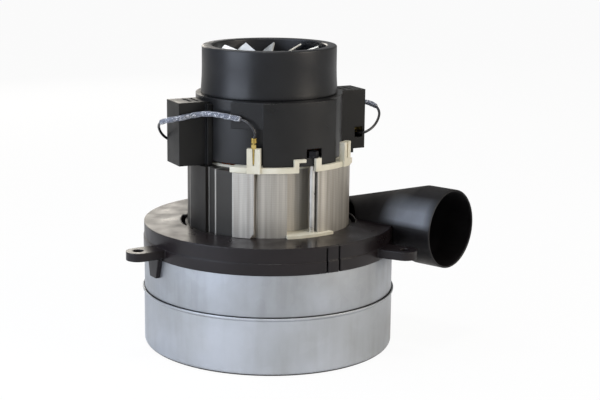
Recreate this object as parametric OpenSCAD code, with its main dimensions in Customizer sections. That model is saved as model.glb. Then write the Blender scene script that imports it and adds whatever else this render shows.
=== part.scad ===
// Two-stage tangential vacuum motor: a steel fan case below, a universal motor above it and a
// cooling fan in a collar on top. Millimetres, +Z up along the shaft. The origin is on the shaft
// axis at the flat bottom of the fan case. An angle called az is measured round the shaft from
// the front (-Y) and grows towards +X.

/* [Fan case] */
// Outer radius of the lower drawn steel shell
case_r = 71.65; // [71:0.05:72.5]
// Sheet thickness of the shells
sheet_t = 1.0; // [0.8:0.1:1.2]
// Height of the lower shell up to the seam
lower_case_h = 32.0; // [31.6:0.2:35]
// Height of the upper shell from the seam to the bracket ring
upper_case_h = 24.3; // [23.6:0.1:26]
// Radius of the bend between floor and wall of the lower shell
case_bend_r = 2.5; // [2:0.5:5]
// How far the seam lip stands out of the wall
seam_lip_w = 0.95; // [0.8:0.05:1.5]
// Height of the seam lip above the end of the wall
seam_lip_h = 0.9; // [0.6:0.1:1.4]
// Width of the groove between the seam lip and the upper shell
seam_groove_w = 0.5; // [0.3:0.05:0.6]
// Radius of the air inlet in the floor
inlet_r = 25; // [22:0.5:26]
// Height of the drawn neck round each inlet
neck_h = 4.5; // [4:0.1:5]

/* [Impellers] */
// Outer radius of both impellers
impeller_r = 64; // [60:0.5:65]
// Thickness of the front plate with the eye
front_plate_t = 1.0; // [0.8:0.1:1.2]
// Thickness of the back plate on the shaft
back_plate_t = 1.2; // [1:0.1:1.4]
// Height of the vanes
vane_h = 9.0; // [8:0.1:9.4]
// Sheet thickness of the vanes
vane_t = 1.0; // [0.8:0.1:1.5]
// Vanes in each impeller
vane_count = 7; // [5:1:9]
// Radial gap between a neck and the impeller eye round it
eye_gap = 0.8; // [0.5:0.1:1.5]
// Vanes on the fixed return disc
return_vane_count = 9; // [6:1:12]
// Thickness of the return disc
return_disc_t = 1.5; // [1:0.1:2]
// Running gap above the first impeller
stage_gap = 1.5; // [1:0.1:2]

/* [Fan-end bracket] */
// Radius of the ring above its side step
ring_r = 71.4; // [71.2:0.1:72.4]
// How far the lower half of the ring stands proud of the upper half
ring_step = 0.4; // [0.2:0.1:0.8]
// Height of the ring
ring_h = 14.75; // [14:0.05:16]
// Height of the step line above the underside of the ring
ring_step_h = 6.5; // [4:0.5:8]
// Thickness of the top plate of the bracket
top_plate_t = 3.0; // [2.4:0.1:3.4]
// Thickness of the outer wall of the bracket
ring_wall_t = 3.2; // [2.6:0.2:3.6]
// Thickness of the plate above the second impeller
hub_plate_t = 2.5; // [2:0.1:2.6]
// Running gap between the second impeller and the hub plate
hub_plate_gap = 1.6; // [1:0.1:1.8]
// Radius from the shaft to the mounting holes
lug_pcd_r = 84.5; // [83:0.5:87]
// Radius of a mounting hole
lug_hole_r = 3.0; // [2.2:0.1:3.6]
// Radius of the round end of a lug
lug_end_r = 6.8; // [6:0.1:8.5]
// Height of a lug
lug_t = 4.7; // [4:0.1:6]
// Number of lugs
lug_count = 3; // [2:1:4]

/* [Discharge horn] */
// Outer radius of the round mouth
horn_r = 22.4; // [21:0.25:24]
// Wall of the mouth
horn_wall = 1.2; // [1:0.1:2]
// Distance from the shaft axis to the horn axis
horn_offset = 54.5; // [53:0.1:56]
// Direction in which the mouth points, az
horn_az = 49.3; // [46:0.1:52]
// Distance of the mouth plane from the shaft axis, along the horn
horn_reach = 89; // [86:0.5:94]
// Length of the straight round part behind the mouth
horn_straight = 18; // [14:0.5:20]
// Height of the horn axis below the top of the bracket
horn_drop = 1.6; // [0:0.1:3]

/* [Field stack] */
// Radius of the laminated stack
stack_r = 47.8; // [47:0.1:48.2]
// Height of the stack
stack_h = 37.25; // [35:0.25:40]
// Radius of the bore for the armature
stack_bore_r = 24; // [23.4:0.1:24.5]
// Direction of the pole axis, az
pole_az = 29.6; // [20:0.1:35]
// Depth of the seat of the stack below the top of the bracket
seat_drop = 1.3; // [1:0.1:2]
// Thickness of the lower coil former under the stack
lower_former_t = 1.6; // [1.2:0.1:2]
// Thickness of the upper coil former on the stack
upper_former_t = 3.0; // [2.6:0.1:3.6]
// Height of the terminal posts above the stack
post_h = 13.6; // [12:0.2:16]

/* [Rotor] */
// Gap between armature and stack
air_gap = 0.6; // [0.4:0.05:0.9]
// Radius of the shaft at the impellers and at the top bearing
shaft_thin_r = 4; // [3.5:0.1:4.4]
// Radius of the shaft in the motor
shaft_r = 6; // [5.4:0.1:6.4]
// Armature slots
slot_count = 12; // [8:1:14]
// Radius of the commutator
commutator_r = 13.5; // [12:0.5:14]
// Bars in the commutator
bar_count = 22; // [16:2:28]

/* [Brush gear] */
// Direction of the brush axis on the left side, az
brush_az = -64.7; // [-70:0.1:-60]
// Radius at which the left brush housing ends
left_reach = 58.5; // [57:0.1:60]
// Radius at which the right brush housing ends
right_reach = 57.2; // [57:0.1:60]
// How much lower the top of the left brush housing lies
left_drop = 1.3; // [0:0.1:1.6]
// Width of a brush housing
housing_w = 18; // [15:0.5:20]
// Width of a carbon brush round the commutator
brush_w = 6.8; // [5:0.1:7.2]
// Height of a carbon brush along the shaft
brush_h = 11.4; // [9:0.1:12]
// Length of a carbon brush
brush_len = 30; // [24:0.5:31]
// Wall of the brass guide tube
tube_t = 0.7; // [0.5:0.1:0.9]
// Curls in a brush spring
spring_curls = 7; // [5:1:9]

/* [Brush end and cooling fan] */
// Radius of the brush-end bracket beside the brush housings
bracket_r = 41.5; // [41:0.1:42]
// Radius of the two wide walls of the bracket that stand on the coil former
bracket_wall_r = 47.0; // [46.6:0.1:47.2]
// Wall of the brush-end bracket
bracket_wall = 3.9; // [3.3:0.1:3.9]
// Height of the brush-end bracket
bracket_h = 34.8; // [34.2:0.1:36]
// Outer radius of the collar
collar_r = 37.95; // [37:0.05:38.6]
// Inner radius of the collar
collar_bore_r = 32.1; // [31.5:0.1:34]
// Height of the collar
collar_h = 26.6; // [26:0.2:29]
// How far the foot of the collar flares out
collar_flare = 0.7; // [0.2:0.1:1]
// Blades of the cooling fan
blade_count = 11; // [7:1:13]
// Pitch of the blades
blade_pitch = 37; // [30:1:42]
// Radial gap between blade tips and collar
tip_gap = 2.0; // [1.5:0.1:3]

/* [Leads] */
// Radius of the insulated brush lead
lead_r = 0.75; // [0.6:0.05:0.85]
// Outer radius of the woven sleeve over the lead
sleeve_r = 1.6; // [1.5:0.05:1.8]

/* [Hidden] */

$fn = 96;
// Small overlap of a cut past the face that it opens
eps = 0.5;
// Gap of a part pressed into a seat, and of a part that only slides into one
press_gap = 0.03;
slide_gap = 0.1;

// Heights of the fan section
z_seam = lower_case_h;
z_ring = z_seam + upper_case_h;
z_disc = z_ring + ring_h;
upper_case_r = case_r - 0.25;
case_bore_r = upper_case_r - sheet_t;
neck_r = inlet_r + sheet_t;
neck_lead_r = 1.5;
// An impeller's front plate starts half a millimetre below the rim of the neck it runs round
neck_overlap = 0.5;
impeller_one_z = neck_h - neck_overlap;
impeller_two_z = z_seam + neck_h - neck_overlap;
impeller_h = front_plate_t + vane_h + back_plate_t;
back_plate_z = front_plate_t + vane_h;
return_z = impeller_one_z + impeller_h + stage_gap;
return_r = impeller_r - 1;

// Clamping of the impellers
washer_t = 1.5;
washer_r = 9;
spacer_r = 7.5;
nut_h = 6.5;
nut_r = 7.5;
shaft_bottom_z = neck_h + 1;

// Lower bearing, a 12 x 32 x 10 size
hub_plate_z = impeller_two_z + impeller_h + hub_plate_gap;
lower_bearing_z = hub_plate_z + hub_plate_t;
lower_bearing_w = 10;
lower_bearing_r = 16;
lower_ball_r = 2.95;
lower_ball_count = 8;
hub_r = 21;
hub_top_z = lower_bearing_z + lower_bearing_w;
retainer_t = 1.2;
retainer_screw_pcd_r = 18.3;
retainer_screw_r = 1.2;

// Bracket walls
channel_r_in = 50.5;
cavity_r = 45.8;
ring_foot_r = ring_r + ring_step;
spigot_r = case_bore_r - slide_gap;
spigot_t = 3.4;
spigot_h = 4;

// Field stack
z_stack = z_disc - seat_drop;
z_stack_top = z_stack + stack_h;
z_ledge = z_stack - lower_former_t;
stack_side_r = stack_r - 1.5;
pole_arc = 36.6;
seat_r = stack_r + 0.5;
notch_floor = 38;
notch_from = -14.25;
notch_to = 3.8;
yoke_r_in = 38.3;
shoe_r = 29.3;
pole_half_w = 14;
// A pole shoe ends at this angle from the pole axis
shoe_half_angle = 66;
// A coil's side reaches this angle from the pole axis
coil_half_angle = 75;
coil_r_in = 30;
coil_r_out = 37.5;
coil_over = 7.3;
screw_a = 44.7;
screw_b = 1.75;
screw_r = 1.85;
screw_head_r = 3.8;
screw_head_h = 3.4;
post_az = [-9.5, 60.1];

// Brush end
z_bracket = z_stack_top + upper_former_t;
z_collar = z_bracket + bracket_h;
z_top = z_collar + collar_h;
ear_h = 4.4;
brush_z = z_bracket + 16.25;
bracket_bore_r = bracket_r - bracket_wall;
tube_half_w = brush_w / 2 + slide_gap + tube_t;
tube_half_h = brush_h / 2 + slide_gap + tube_t;
tube_start = commutator_r + 2.5;
housing_end_t = 1.5;
tube_end = right_reach - housing_end_t - slide_gap;
tube_cap_t = 0.6;
brush_face_gap = 0.1;
brush_start = commutator_r + brush_face_gap;
brush_end = brush_start + brush_len;

// Upper bearing, an 8 x 22 x 7 size
upper_bearing_w = 7;
upper_bearing_r = 11;
upper_ball_r = 1.95;
upper_ball_count = 7;
upper_hub_r = 14.5;
ceiling_t = 1.9;
wave_room = 0.8;
z_upper_bearing_top = z_collar - ceiling_t - wave_room;
z_upper_bearing = z_upper_bearing_top - upper_bearing_w;

// Rotor
armature_r = stack_bore_r - air_gap;
core_z = z_stack + 1;
core_h = stack_h - 2;
end_disc_t = 1;
end_turn_low_z = hub_top_z + 3.1;
end_turn_top_z = core_z + core_h + 8;
slot_w = 2.2;
slot_floor_r = 14;
commutator_z = end_turn_top_z + 2;
commutator_top_z = z_upper_bearing - 0.6;
riser_h = 2;
bar_gap = 0.5;
bar_r_in = 9.5;
shaft_collar_r = 7.6;
shaft_collar_h = 2;

// Cooling fan
blade_r = collar_bore_r - tip_gap;
fan_hub_r = 13;
fan_hub_z = z_collar + 8;
fan_hub_h = 11;
fan_nut_h = 4;
blade_t = 0.9;
blade_tip_z = z_top - 1.4;

// Turns its children so that local +X points to az
module at_az(az) {
    rotate([0, 0, az - 90]) children();
}

// Repeats its children on both sides of the shaft
module both_sides() {
    for (turn = [0, 180]) rotate([0, 0, turn]) children();
}

module disc(r, z0, z1) {
    translate([0, 0, z0]) cylinder(r = r, h = z1 - z0);
}

module tube(r_out, r_in, z0, z1) {
    difference() {
        disc(r_out, z0, z1);
        disc(r_in, z0 - eps, z1 + eps);
    }
}

// Box given by its low and high corners
module block(low, high) {
    translate(low) cube(high - low);
}

// Wedge from az0 to az1 about the shaft, under 170 degrees, with its point on the axis
module wedge(az0, az1, r, z0, z1) {
    mid = (az0 + az1) / 2;
    half = (az1 - az0) / 2;
    reach = 2 * r;
    at_az(mid) translate([0, 0, z0]) linear_extrude(z1 - z0)
        polygon([[0, 0], [reach * cos(half), -reach * sin(half)], [reach, -reach * sin(half)],
            [reach, reach * sin(half)], [reach * cos(half), reach * sin(half)]]);
}

// Part of a tube between two angles
module tube_sector(r_out, r_in, z0, z1, az0, az1) {
    intersection() {
        tube(r_out, r_in, z0, z1);
        wedge(az0, az1, r_out + eps, z0 - eps, z1 + eps);
    }
}

// Points of an arc, for profiles
function arc_points(cx, cy, r, a0, a1, n) =
    [for (i = [0:n]) let (a = a0 + (a1 - a0) * i / n) [cx + r * cos(a), cy + r * sin(a)]];

// Curved vane of an impeller: one branch of a round wall between two radii
module curved_vane(r_in, r_out, bend_r, offset_r, t, z0, z1) {
    intersection() {
        translate([offset_r, 0, 0]) tube(bend_r + t, bend_r, z0, z1);
        tube(r_out, r_in, z0 - eps, z1 + eps);
        block([-r_out, 0, z0 - eps], [r_out, r_out, z1 + eps]);
    }
}

// Fan case

module lower_fan_shell() {
    inner_bend = case_bend_r - sheet_t;
    lip_r = case_r + seam_lip_w;
    lip_z = z_seam + seam_lip_h;
    lip_bore = upper_case_r + seam_groove_w;
    color("#b4bac0") rotate_extrude() polygon(concat(
        [[neck_r, sheet_t]],
        arc_points(case_r - sheet_t - inner_bend, case_bend_r, inner_bend, -90, 0, 6),
        [[case_r - sheet_t, z_seam], [lip_bore, z_seam], [lip_bore, lip_z], [lip_r - 0.2, lip_z]],
        [[lip_r, lip_z - 0.2], [lip_r, z_seam - 0.1], [case_r, z_seam - 1.0]],
        arc_points(case_r - case_bend_r, case_bend_r, case_bend_r, 0, -90, 6),
        [[inlet_r, 0], [inlet_r, neck_h], [neck_r, neck_h]]
    ));
}

module upper_fan_shell() {
    top = z_ring;
    floor_top = z_seam + sheet_t;
    color("#b8bdc2") rotate_extrude() polygon(concat(
        [[neck_r, floor_top], [case_bore_r, floor_top], [case_bore_r, top], [upper_case_r, top]],
        [[upper_case_r, z_seam]],
        arc_points(inlet_r + neck_lead_r, z_seam + neck_lead_r, neck_lead_r, -90, -180, 4),
        [[inlet_r, z_seam + neck_h], [neck_r, z_seam + neck_h]]
    ));
}

module return_vane_disc() {
    plate_top = return_z + return_disc_t;
    color("#a9adb0") union() {
        tube(return_r, washer_r + 1, return_z, plate_top);
        for (i = [0:return_vane_count - 1]) rotate([0, 0, 360 / return_vane_count * i])
            curved_vane(neck_r, return_r - 0.6, 40, 42, 1.2, plate_top - 0.2, z_seam);
    }
}

// Impellers

module front_plate(z) {
    color("#c4c7c9") tube(impeller_r, neck_r + eye_gap, z, z + front_plate_t);
}

module vane_set(z) {
    color("#c9cbcc") for (i = [0:vane_count - 1]) rotate([0, 0, 360 / vane_count * i])
        mirror([0, 1, 0]) curved_vane(neck_r + eye_gap + 1, impeller_r - 0.5, 44, 46, vane_t,
            z + front_plate_t, z + back_plate_z);
}

module back_plate(z) {
    color("#c4c7c9") tube(impeller_r, shaft_thin_r, z + back_plate_z, z + impeller_h);
}

module stage_one_front_plate() {
    front_plate(impeller_one_z);
}

module stage_one_vanes() {
    vane_set(impeller_one_z);
}

module stage_one_back_plate() {
    back_plate(impeller_one_z);
}

module stage_two_front_plate() {
    front_plate(impeller_two_z);
}

module stage_two_vanes() {
    vane_set(impeller_two_z);
}

module stage_two_back_plate() {
    back_plate(impeller_two_z);
}

module fan_spacer() {
    color("#9a9da0") tube(spacer_r, shaft_thin_r, impeller_one_z + impeller_h + washer_t,
        impeller_two_z + back_plate_z - washer_t);
}

module hub_spacer() {
    color("#9a9da0") tube(spacer_r, shaft_thin_r, impeller_two_z + impeller_h + washer_t,
        lower_bearing_z);
}

module clamp_washers() {
    color("#b0b3b6") for (z = [impeller_one_z, impeller_two_z]) {
        tube(washer_r, shaft_thin_r, z + back_plate_z - washer_t, z + back_plate_z);
        tube(washer_r, shaft_thin_r, z + impeller_h, z + impeller_h + washer_t);
    }
}

module impeller_nut() {
    top = impeller_one_z + back_plate_z - washer_t;
    color("#b8bbbe") difference() {
        translate([0, 0, top - nut_h]) cylinder(r = nut_r, h = nut_h, $fn = 6);
        disc(shaft_thin_r, top - nut_h - eps, top + eps);
    }
}

// Ball bearings: races with a round groove, balls and a drilled cage

module outer_race(r_out, r_in, pitch_r, ball_r, z, w) {
    color("#8f9396") difference() {
        tube(r_out, r_in, z, z + w);
        translate([0, 0, z + w / 2]) rotate_extrude() translate([pitch_r, 0])
            circle(r = ball_r + slide_gap, $fn = 48);
    }
}

module ball_set(count, pitch_r, ball_r, z) {
    color("#d0d3d5") for (i = [0:count - 1]) rotate([0, 0, 360 / count * i])
        translate([pitch_r, 0, z]) sphere(r = ball_r, $fn = 32);
}

module ball_cage(count, pitch_r, ball_r, z) {
    half_h = ball_r + 0.95;
    color("#a88f4c") difference() {
        tube(pitch_r + 0.7, pitch_r - 0.7, z - half_h, z + half_h);
        for (i = [0:count - 1]) rotate([0, 0, 360 / count * i]) translate([0, 0, z])
            rotate([0, 90, 0]) cylinder(r = ball_r + slide_gap, h = pitch_r + 5, $fn = 48);
    }
}

module lower_bearing_outer_race() {
    outer_race(lower_bearing_r, 12.8, 11, lower_ball_r, lower_bearing_z, lower_bearing_w);
}

module lower_bearing_inner_race() {
    outer_race(9.2, shaft_r, 11, lower_ball_r, lower_bearing_z, lower_bearing_w);
}

module lower_bearing_balls() {
    ball_set(lower_ball_count, 11, lower_ball_r, lower_bearing_z + lower_bearing_w / 2);
}

module lower_bearing_cage() {
    ball_cage(lower_ball_count, 11, lower_ball_r, lower_bearing_z + lower_bearing_w / 2);
}

module upper_bearing_outer_race() {
    outer_race(upper_bearing_r, 8.9, 7.5, upper_ball_r, z_upper_bearing, upper_bearing_w);
}

module upper_bearing_inner_race() {
    outer_race(6.1, shaft_thin_r, 7.5, upper_ball_r, z_upper_bearing, upper_bearing_w);
}

module upper_bearing_balls() {
    ball_set(upper_ball_count, 7.5, upper_ball_r, z_upper_bearing + upper_bearing_w / 2);
}

module upper_bearing_cage() {
    ball_cage(upper_ball_count, 7.5, upper_ball_r, z_upper_bearing + upper_bearing_w / 2);
}

// Thin ring with three waves that presses on the upper bearing
wave_steps = 48;
wave_t = 0.3;
function wave_z(i) = z_upper_bearing_top + wave_room / 2
    + (wave_room / 2 - wave_t / 2 - 0.05) * sin(3 * 360 * i / wave_steps);
function wave_point(i, r, side) = let (a = 360 * i / wave_steps)
    [r * cos(a), r * sin(a), wave_z(i) + side * wave_t / 2];

module bearing_wave_washer() {
    points = [for (i = [0:wave_steps - 1])
        each [wave_point(i, 8.2, -1), wave_point(i, 10.6, -1),
            wave_point(i, 10.6, 1), wave_point(i, 8.2, 1)]];
    faces = [for (i = [0:wave_steps - 1]) for (k = [0:3])
        let (j = (i + 1) % wave_steps, m = (k + 1) % 4)
        each [[4 * i + k, 4 * i + m, 4 * j + m], [4 * i + k, 4 * j + m, 4 * j + k]]];
    color("#b9bcbf") polyhedron(points, faces);
}

// Fan-end bracket

// Places its children on the horn axis: local +Z runs out of the mouth, local +Y points up
module on_horn(along, perp) {
    at_az(horn_az) translate([along, perp, z_disc - horn_drop])
        rotate([90, 0, 90]) children();
}

module lug() {
    z0 = z_ring + 2;
    difference() {
        union() {
            block([ring_r - ring_wall_t, -lug_end_r, z0], [lug_pcd_r, lug_end_r, z0 + lug_t]);
            translate([lug_pcd_r, 0, z0]) cylinder(r = lug_end_r, h = lug_t);
        }
        translate([lug_pcd_r, 0, z0 - eps]) cylinder(r = lug_hole_r, h = lug_t + 2 * eps);
    }
}

// Tapered tab under the left lug that locates the upper shell
module locating_tab() {
    tab_h = 10.4;
    tab_in = upper_case_r + slide_gap;
    tab_out = ring_foot_r + 2.2;
    intersection() {
        translate([tab_in - 1, 0, 0]) rotate([90, 0, 90]) linear_extrude(tab_out - tab_in + 1)
            polygon([[-6.6, z_ring + 1], [-3.8, z_ring - tab_h], [3.8, z_ring - tab_h], [6.6, z_ring + 1]]);
        tube(tab_out, tab_in, z_ring - tab_h - eps, z_ring + 1 + eps);
    }
}

// Opening that lets the air out of the ring into the horn: its start along the horn, its nearest
// side to the shaft, its floor above the underside of the ring, and the length of the gap in the wall
port_start = 4;
port_side = horn_offset - 17.5;
port_floor = 3.5;
port_wall_gap = 19.4;

module horn_port() {
    low = z_ring + port_floor;
    past = ring_foot_r + 1;
    intersection() {
        at_az(horn_az) block([port_start, port_side, low], [past, past, z_disc + eps]);
        union() {
            tube(ring_r - ring_wall_t, channel_r_in, low, z_disc + eps);
            at_az(horn_az) block([ring_r - port_wall_gap, port_side, low], [past, past, z_disc + eps]);
        }
    }
}

// Directions of the lugs, the tab, the two slots beside it and the pockets round the stack
first_lug_az = -57.4;
tab_az = -60;
snap_slot_az = [26.1, 32.2];
vent_pocket_az = [[-100, -68], [-61, -23.5], [80, 112], [119, 156.5]];

module fan_end_bracket() {
    boss_z = hub_plate_z + hub_plate_t;
    inner_z = z_disc - top_plate_t;
    color("#343336") difference() {
        union() {
            tube(ring_r, ring_r - ring_wall_t, z_ring + ring_step_h, z_disc);
            tube(ring_foot_r, ring_r - ring_wall_t, z_ring, z_ring + ring_step_h);
            tube(spigot_r, spigot_r - spigot_t, z_ring - spigot_h, z_ring + 1);
            tube(ring_r - ring_wall_t + 1, channel_r_in - 1, inner_z, z_disc);
            tube(channel_r_in, cavity_r, hub_plate_z, z_disc);
            tube(channel_r_in - 1, spacer_r + 3.5, hub_plate_z, boss_z);
            tube(hub_r, lower_bearing_r + press_gap, hub_plate_z, hub_top_z);
            for (i = [0:5]) rotate([0, 0, 60 * i + 20])
                block([hub_r - 1, -1.25, boss_z - 0.5], [cavity_r + 1, 1.25, boss_z + 6]);
            both_sides() at_az(pole_az) translate([screw_a, screw_b, boss_z - 0.5])
                cylinder(r = 4.6, h = z_ledge - boss_z + 0.5);
            for (i = [0:lug_count - 1]) at_az(first_lug_az + 360 / lug_count * i) lug();
            at_az(tab_az) locating_tab();
        }
        disc(seat_r, z_ledge, z_disc + eps);
        disc(lower_bearing_r + press_gap, boss_z, hub_top_z + eps);
        disc(spacer_r + 3.5, hub_plate_z - eps, boss_z + eps);
        both_sides() at_az(pole_az) translate([screw_a, screw_b, boss_z + 1])
            cylinder(r = screw_r + press_gap, h = z_disc);
        for (i = [0:2]) rotate([0, 0, 120 * i]) translate([retainer_screw_pcd_r, 0, hub_top_z - 6])
            cylinder(r = retainer_screw_r + press_gap, h = 7, $fn = 32);
        horn_port();
        for (az = snap_slot_az) at_az(az)
            block([ring_r - 1.2, -0.55, z_ring - eps], [ring_foot_r + 1, 0.55, z_disc - 0.8]);
        for (span = vent_pocket_az)
            tube_sector(seat_r + 1.9, cavity_r - 1, z_ledge - 2, z_disc + eps, span[0], span[1]);
    }
}

// Section of the horn at its root: half width and half height of a flat oval
horn_root_w = 19;
horn_root_h = 2.2;
horn_root_along = -8;
horn_root_perp = 51.4;
horn_wall_back = 1.6;
// The hood stops at this distance from the shaft, clear of the field stack and its insulation
horn_stop_r = 50.2;

module horn_hood(shrink) {
    hull() {
        on_horn(horn_reach - horn_straight - 0.5 * shrink, horn_offset)
            cylinder(r = horn_r - 0.2 - shrink, h = 0.5 + 0.5 * shrink, $fn = 64);
        on_horn(horn_root_along + shrink, horn_root_perp) scale([1, (horn_root_h - 0.5 * shrink)
            / (horn_root_w - shrink), 1]) cylinder(r = horn_root_w - shrink, h = 0.5, $fn = 64);
    }
}

module discharge_horn() {
    straight_z = horn_reach - horn_straight;
    color("#2f2e31") difference() {
        union() {
            horn_hood(0);
            on_horn(straight_z - 0.3, horn_offset) cylinder(r = horn_r, h = horn_straight + 0.3);
        }
        horn_hood(horn_wall_back);
        on_horn(straight_z, horn_offset)
            cylinder(r = horn_r - horn_wall, h = horn_straight + eps);
        disc(ring_foot_r + slide_gap, z_ring - 20, z_disc);
        disc(horn_stop_r, z_disc - eps, z_stack_top);
    }
}

module bearing_retainer() {
    color("#b3b7ba") difference() {
        tube(hub_r, 13.5, hub_top_z, hub_top_z + retainer_t);
        for (i = [0:2]) rotate([0, 0, 120 * i]) translate([retainer_screw_pcd_r, 0, hub_top_z - eps])
            cylinder(r = retainer_screw_r + press_gap, h = retainer_t + 2 * eps, $fn = 32);
    }
}

module retainer_screws() {
    top = hub_top_z + retainer_t;
    color("#8d9194") for (i = [0:2]) rotate([0, 0, 120 * i]) translate([retainer_screw_pcd_r, 0, 0])
        difference() {
            union() {
                disc(retainer_screw_r, hub_top_z - 5.5, top + 0.5, $fn = 32);
                disc(2.3, top, top + 1.2, $fn = 32);
            }
            block([-1.6, -0.25, top + 0.7], [1.6, 0.25, top + 2]);
            block([-0.25, -1.6, top + 0.7], [0.25, 1.6, top + 2]);
        }
}

// Field stack

// One winding window of the stack, with its side at the pole body left standing
module stack_windows(z0, z1, slack) {
    difference() {
        tube(yoke_r_in - slack, shoe_r + slack, z0, z1);
        at_az(pole_az) block([-60, -pole_half_w - slack, z0 - 1], [60, pole_half_w + slack, z1 + 1]);
    }
}

// Rib beside the pole face that clamps the former, flat on its outside and bevelled at its foot
module stack_rib(z1) {
    at_az(-15.8) difference() {
        block([stack_side_r - 4, -5.9, z_disc + 0.2], [stack_r + 2.3, 5.9, z1]);
        translate([stack_r + 2.3, 5.9, z_disc])
            rotate([0, 0, 45]) rotate([0, 30, 0]) cube([3, 9, 5], center = true);
    }
}

module field_core() {
    z0 = z_stack;
    z1 = z_stack_top;
    color("#a7a5a0") difference() {
        union() {
            disc(stack_side_r, z0, z1);
            both_sides()
                tube_sector(stack_r, stack_side_r - 3, z0, z1, pole_az - pole_arc, pole_az + pole_arc);
            both_sides() stack_rib(z1);
        }
        disc(stack_bore_r, z0 - eps, z1 + eps);
        stack_windows(z0 - eps, z1 + eps, 0);
        both_sides() tube_sector(shoe_r + 1, stack_bore_r - 1, z0 - eps, z1 + eps,
            pole_az + shoe_half_angle, pole_az + 180 - shoe_half_angle);
        both_sides() at_az(pole_az)
            block([notch_floor, notch_from, z0 - eps], [stack_r + 4, notch_to, z1 + eps]);
        both_sides() tube_sector(stack_r + 3, stack_side_r - 2, z0 - eps, z1 + eps, -48.8, -40.2);
    }
}

module field_coil() {
    low = z_ledge - coil_over;
    high = z_stack_top + 1.5 + coil_over;
    color("#a4552c") difference() {
        tube_sector(coil_r_out, coil_r_in, low, high, pole_az - coil_half_angle, pole_az + coil_half_angle);
        at_az(pole_az) block([20, -pole_half_w - 0.4, z_ledge], [60, pole_half_w + 0.4, z_stack_top + 1.5]);
    }
}

module field_coil_front() {
    field_coil();
}

module field_coil_rear() {
    rotate([0, 0, 180]) field_coil();
}

// Windows of a former's inner ring, through which the coil sides pass
module coil_passages(z0, z1) {
    both_sides() difference() {
        tube_sector(coil_r_out + 0.3, coil_r_in - 0.3, z0, z1,
            pole_az - coil_half_angle - 0.6, pole_az + coil_half_angle + 0.6);
        at_az(pole_az) block([20, -pole_half_w, z0 - 1], [60, pole_half_w, z1 + 1]);
    }
}

former_r_in = 26;
lower_tab_r = 51;
lower_tab_h = 1.6;

module lower_coil_former() {
    tab_top = z_disc + lower_tab_h;
    gap = 0.15;
    color("#ebe8d8") difference() {
        union() {
            tube(stack_r, former_r_in, z_ledge, z_stack);
            both_sides() difference() {
                intersection() {
                    tube(lower_tab_r, notch_floor - 2, z_ledge, tab_top);
                    wedge(pole_az - 17.8, pole_az + 15, lower_tab_r + 5, z_ledge - 1, tab_top + 1);
                }
                at_az(pole_az) block([0, -60, z_stack], [notch_floor + gap, 60, z_disc + 9]);
                difference() {
                    disc(stack_r + gap, z_stack, z_disc + 9);
                    at_az(pole_az) block([notch_floor, notch_from + gap, z_stack - 1],
                        [60, notch_to - gap, z_disc + 10]);
                }
                tube(lower_tab_r + 5, seat_r - gap, z_ledge - eps, z_disc);
            }
        }
        coil_passages(z_ledge - eps, z_stack + eps);
        both_sides() at_az(pole_az) translate([screw_a, screw_b, z_ledge - eps])
            cylinder(r = screw_r + slide_gap, h = tab_top);
    }
}

gate_top = 4.2;
flange_r = 49.2;
gate_r_in = bracket_wall_r + slide_gap;
gate_az = [16.4, 19.5, 24.4, 31.5, 35.7];

// Raised frame of the upper former round the ear of the brush-end bracket
module former_gate() {
    z0 = z_stack_top;
    high = z_bracket + gate_top;
    tube_sector(flange_r, gate_r_in, z0, high, gate_az[0], gate_az[1]);
    tube_sector(flange_r, gate_r_in, high - 1.7, high, gate_az[0], gate_az[2]);
    tube_sector(flange_r, gate_r_in, z0, high, gate_az[3], gate_az[4]);
}

// Terminal posts, and the brass blades that stand in their slits
post_front = flange_r + 1;
post_depth = 3.2;
post_back_wall = 1;
terminal_r = post_front - 1.1;
terminal_t = 1.6;
terminal_half_w = 0.42;
terminal_low = z_stack_top + 5.2;

// Fork-shaped post that holds a terminal, centred on local +X
module terminal_post() {
    back = post_front - post_depth;
    width = 7.4;
    slit_w = 1.5;
    difference() {
        block([back, -width / 2, z_stack_top], [post_front, width / 2, z_stack_top + post_h]);
        translate([back + post_back_wall, 0, 0]) rotate([90, 0, 90]) linear_extrude(post_depth)
            polygon([[-0.45, z_stack_top + 4.6], [0.45, z_stack_top + 4.6],
                [slit_w / 2, z_stack_top + post_h + 1], [-slit_w / 2, z_stack_top + post_h + 1]]);
    }
}

module upper_coil_former() {
    inner_t = 1.5;
    z0 = z_stack_top;
    color("#ebe8d8") union() {
        difference() {
            tube(yoke_r_in, former_r_in, z0, z0 + inner_t);
            coil_passages(z0 - eps, z0 + inner_t + eps);
        }
        both_sides() {
            difference() {
                tube_sector(flange_r, coil_r_out + 0.3, z0, z_bracket, -25.5, 71.5);
                tube_sector(gate_r_in - 0.6, notch_floor + 0.5, z0 - 1, z_bracket + 1,
                    gate_az[1], gate_az[4]);
                tube_sector(60, gate_r_in - 2, z0 - 1, z_bracket + 1, gate_az[1] - 1.7, gate_az[3] + 2.1);
            }
            former_gate();
            for (az = post_az) at_az(az) terminal_post();
        }
    }
}

// Upright brass blade in a post's slit
module terminal_blade(top) {
    block([terminal_r - terminal_t / 2, -terminal_half_w, terminal_low],
        [terminal_r + terminal_t / 2, terminal_half_w, top]);
}

// Brass pin with a crimped collar that takes a brush lead
module terminal_pins() {
    top = z_stack_top + post_h;
    wing_t = terminal_t - 0.4;
    crimp_low = 3.2;
    crimp_r = 1.6;
    crimp_h = 2.6;
    color("#c9a545") both_sides() at_az(post_az[0]) {
        difference() {
            union() {
                terminal_blade(top + crimp_low + 0.2);
                block([terminal_r - wing_t / 2, -1.3, top], [terminal_r + wing_t / 2, 1.3, top + 2.4]);
                translate([terminal_r, 0, top + crimp_low]) cylinder(r = crimp_r, h = crimp_h, $fn = 32);
            }
            translate([terminal_r, 0, top + crimp_low + 1.2])
                cylinder(r = lead_r + 0.2, h = crimp_h, $fn = 32);
        }
    }
}

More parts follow.
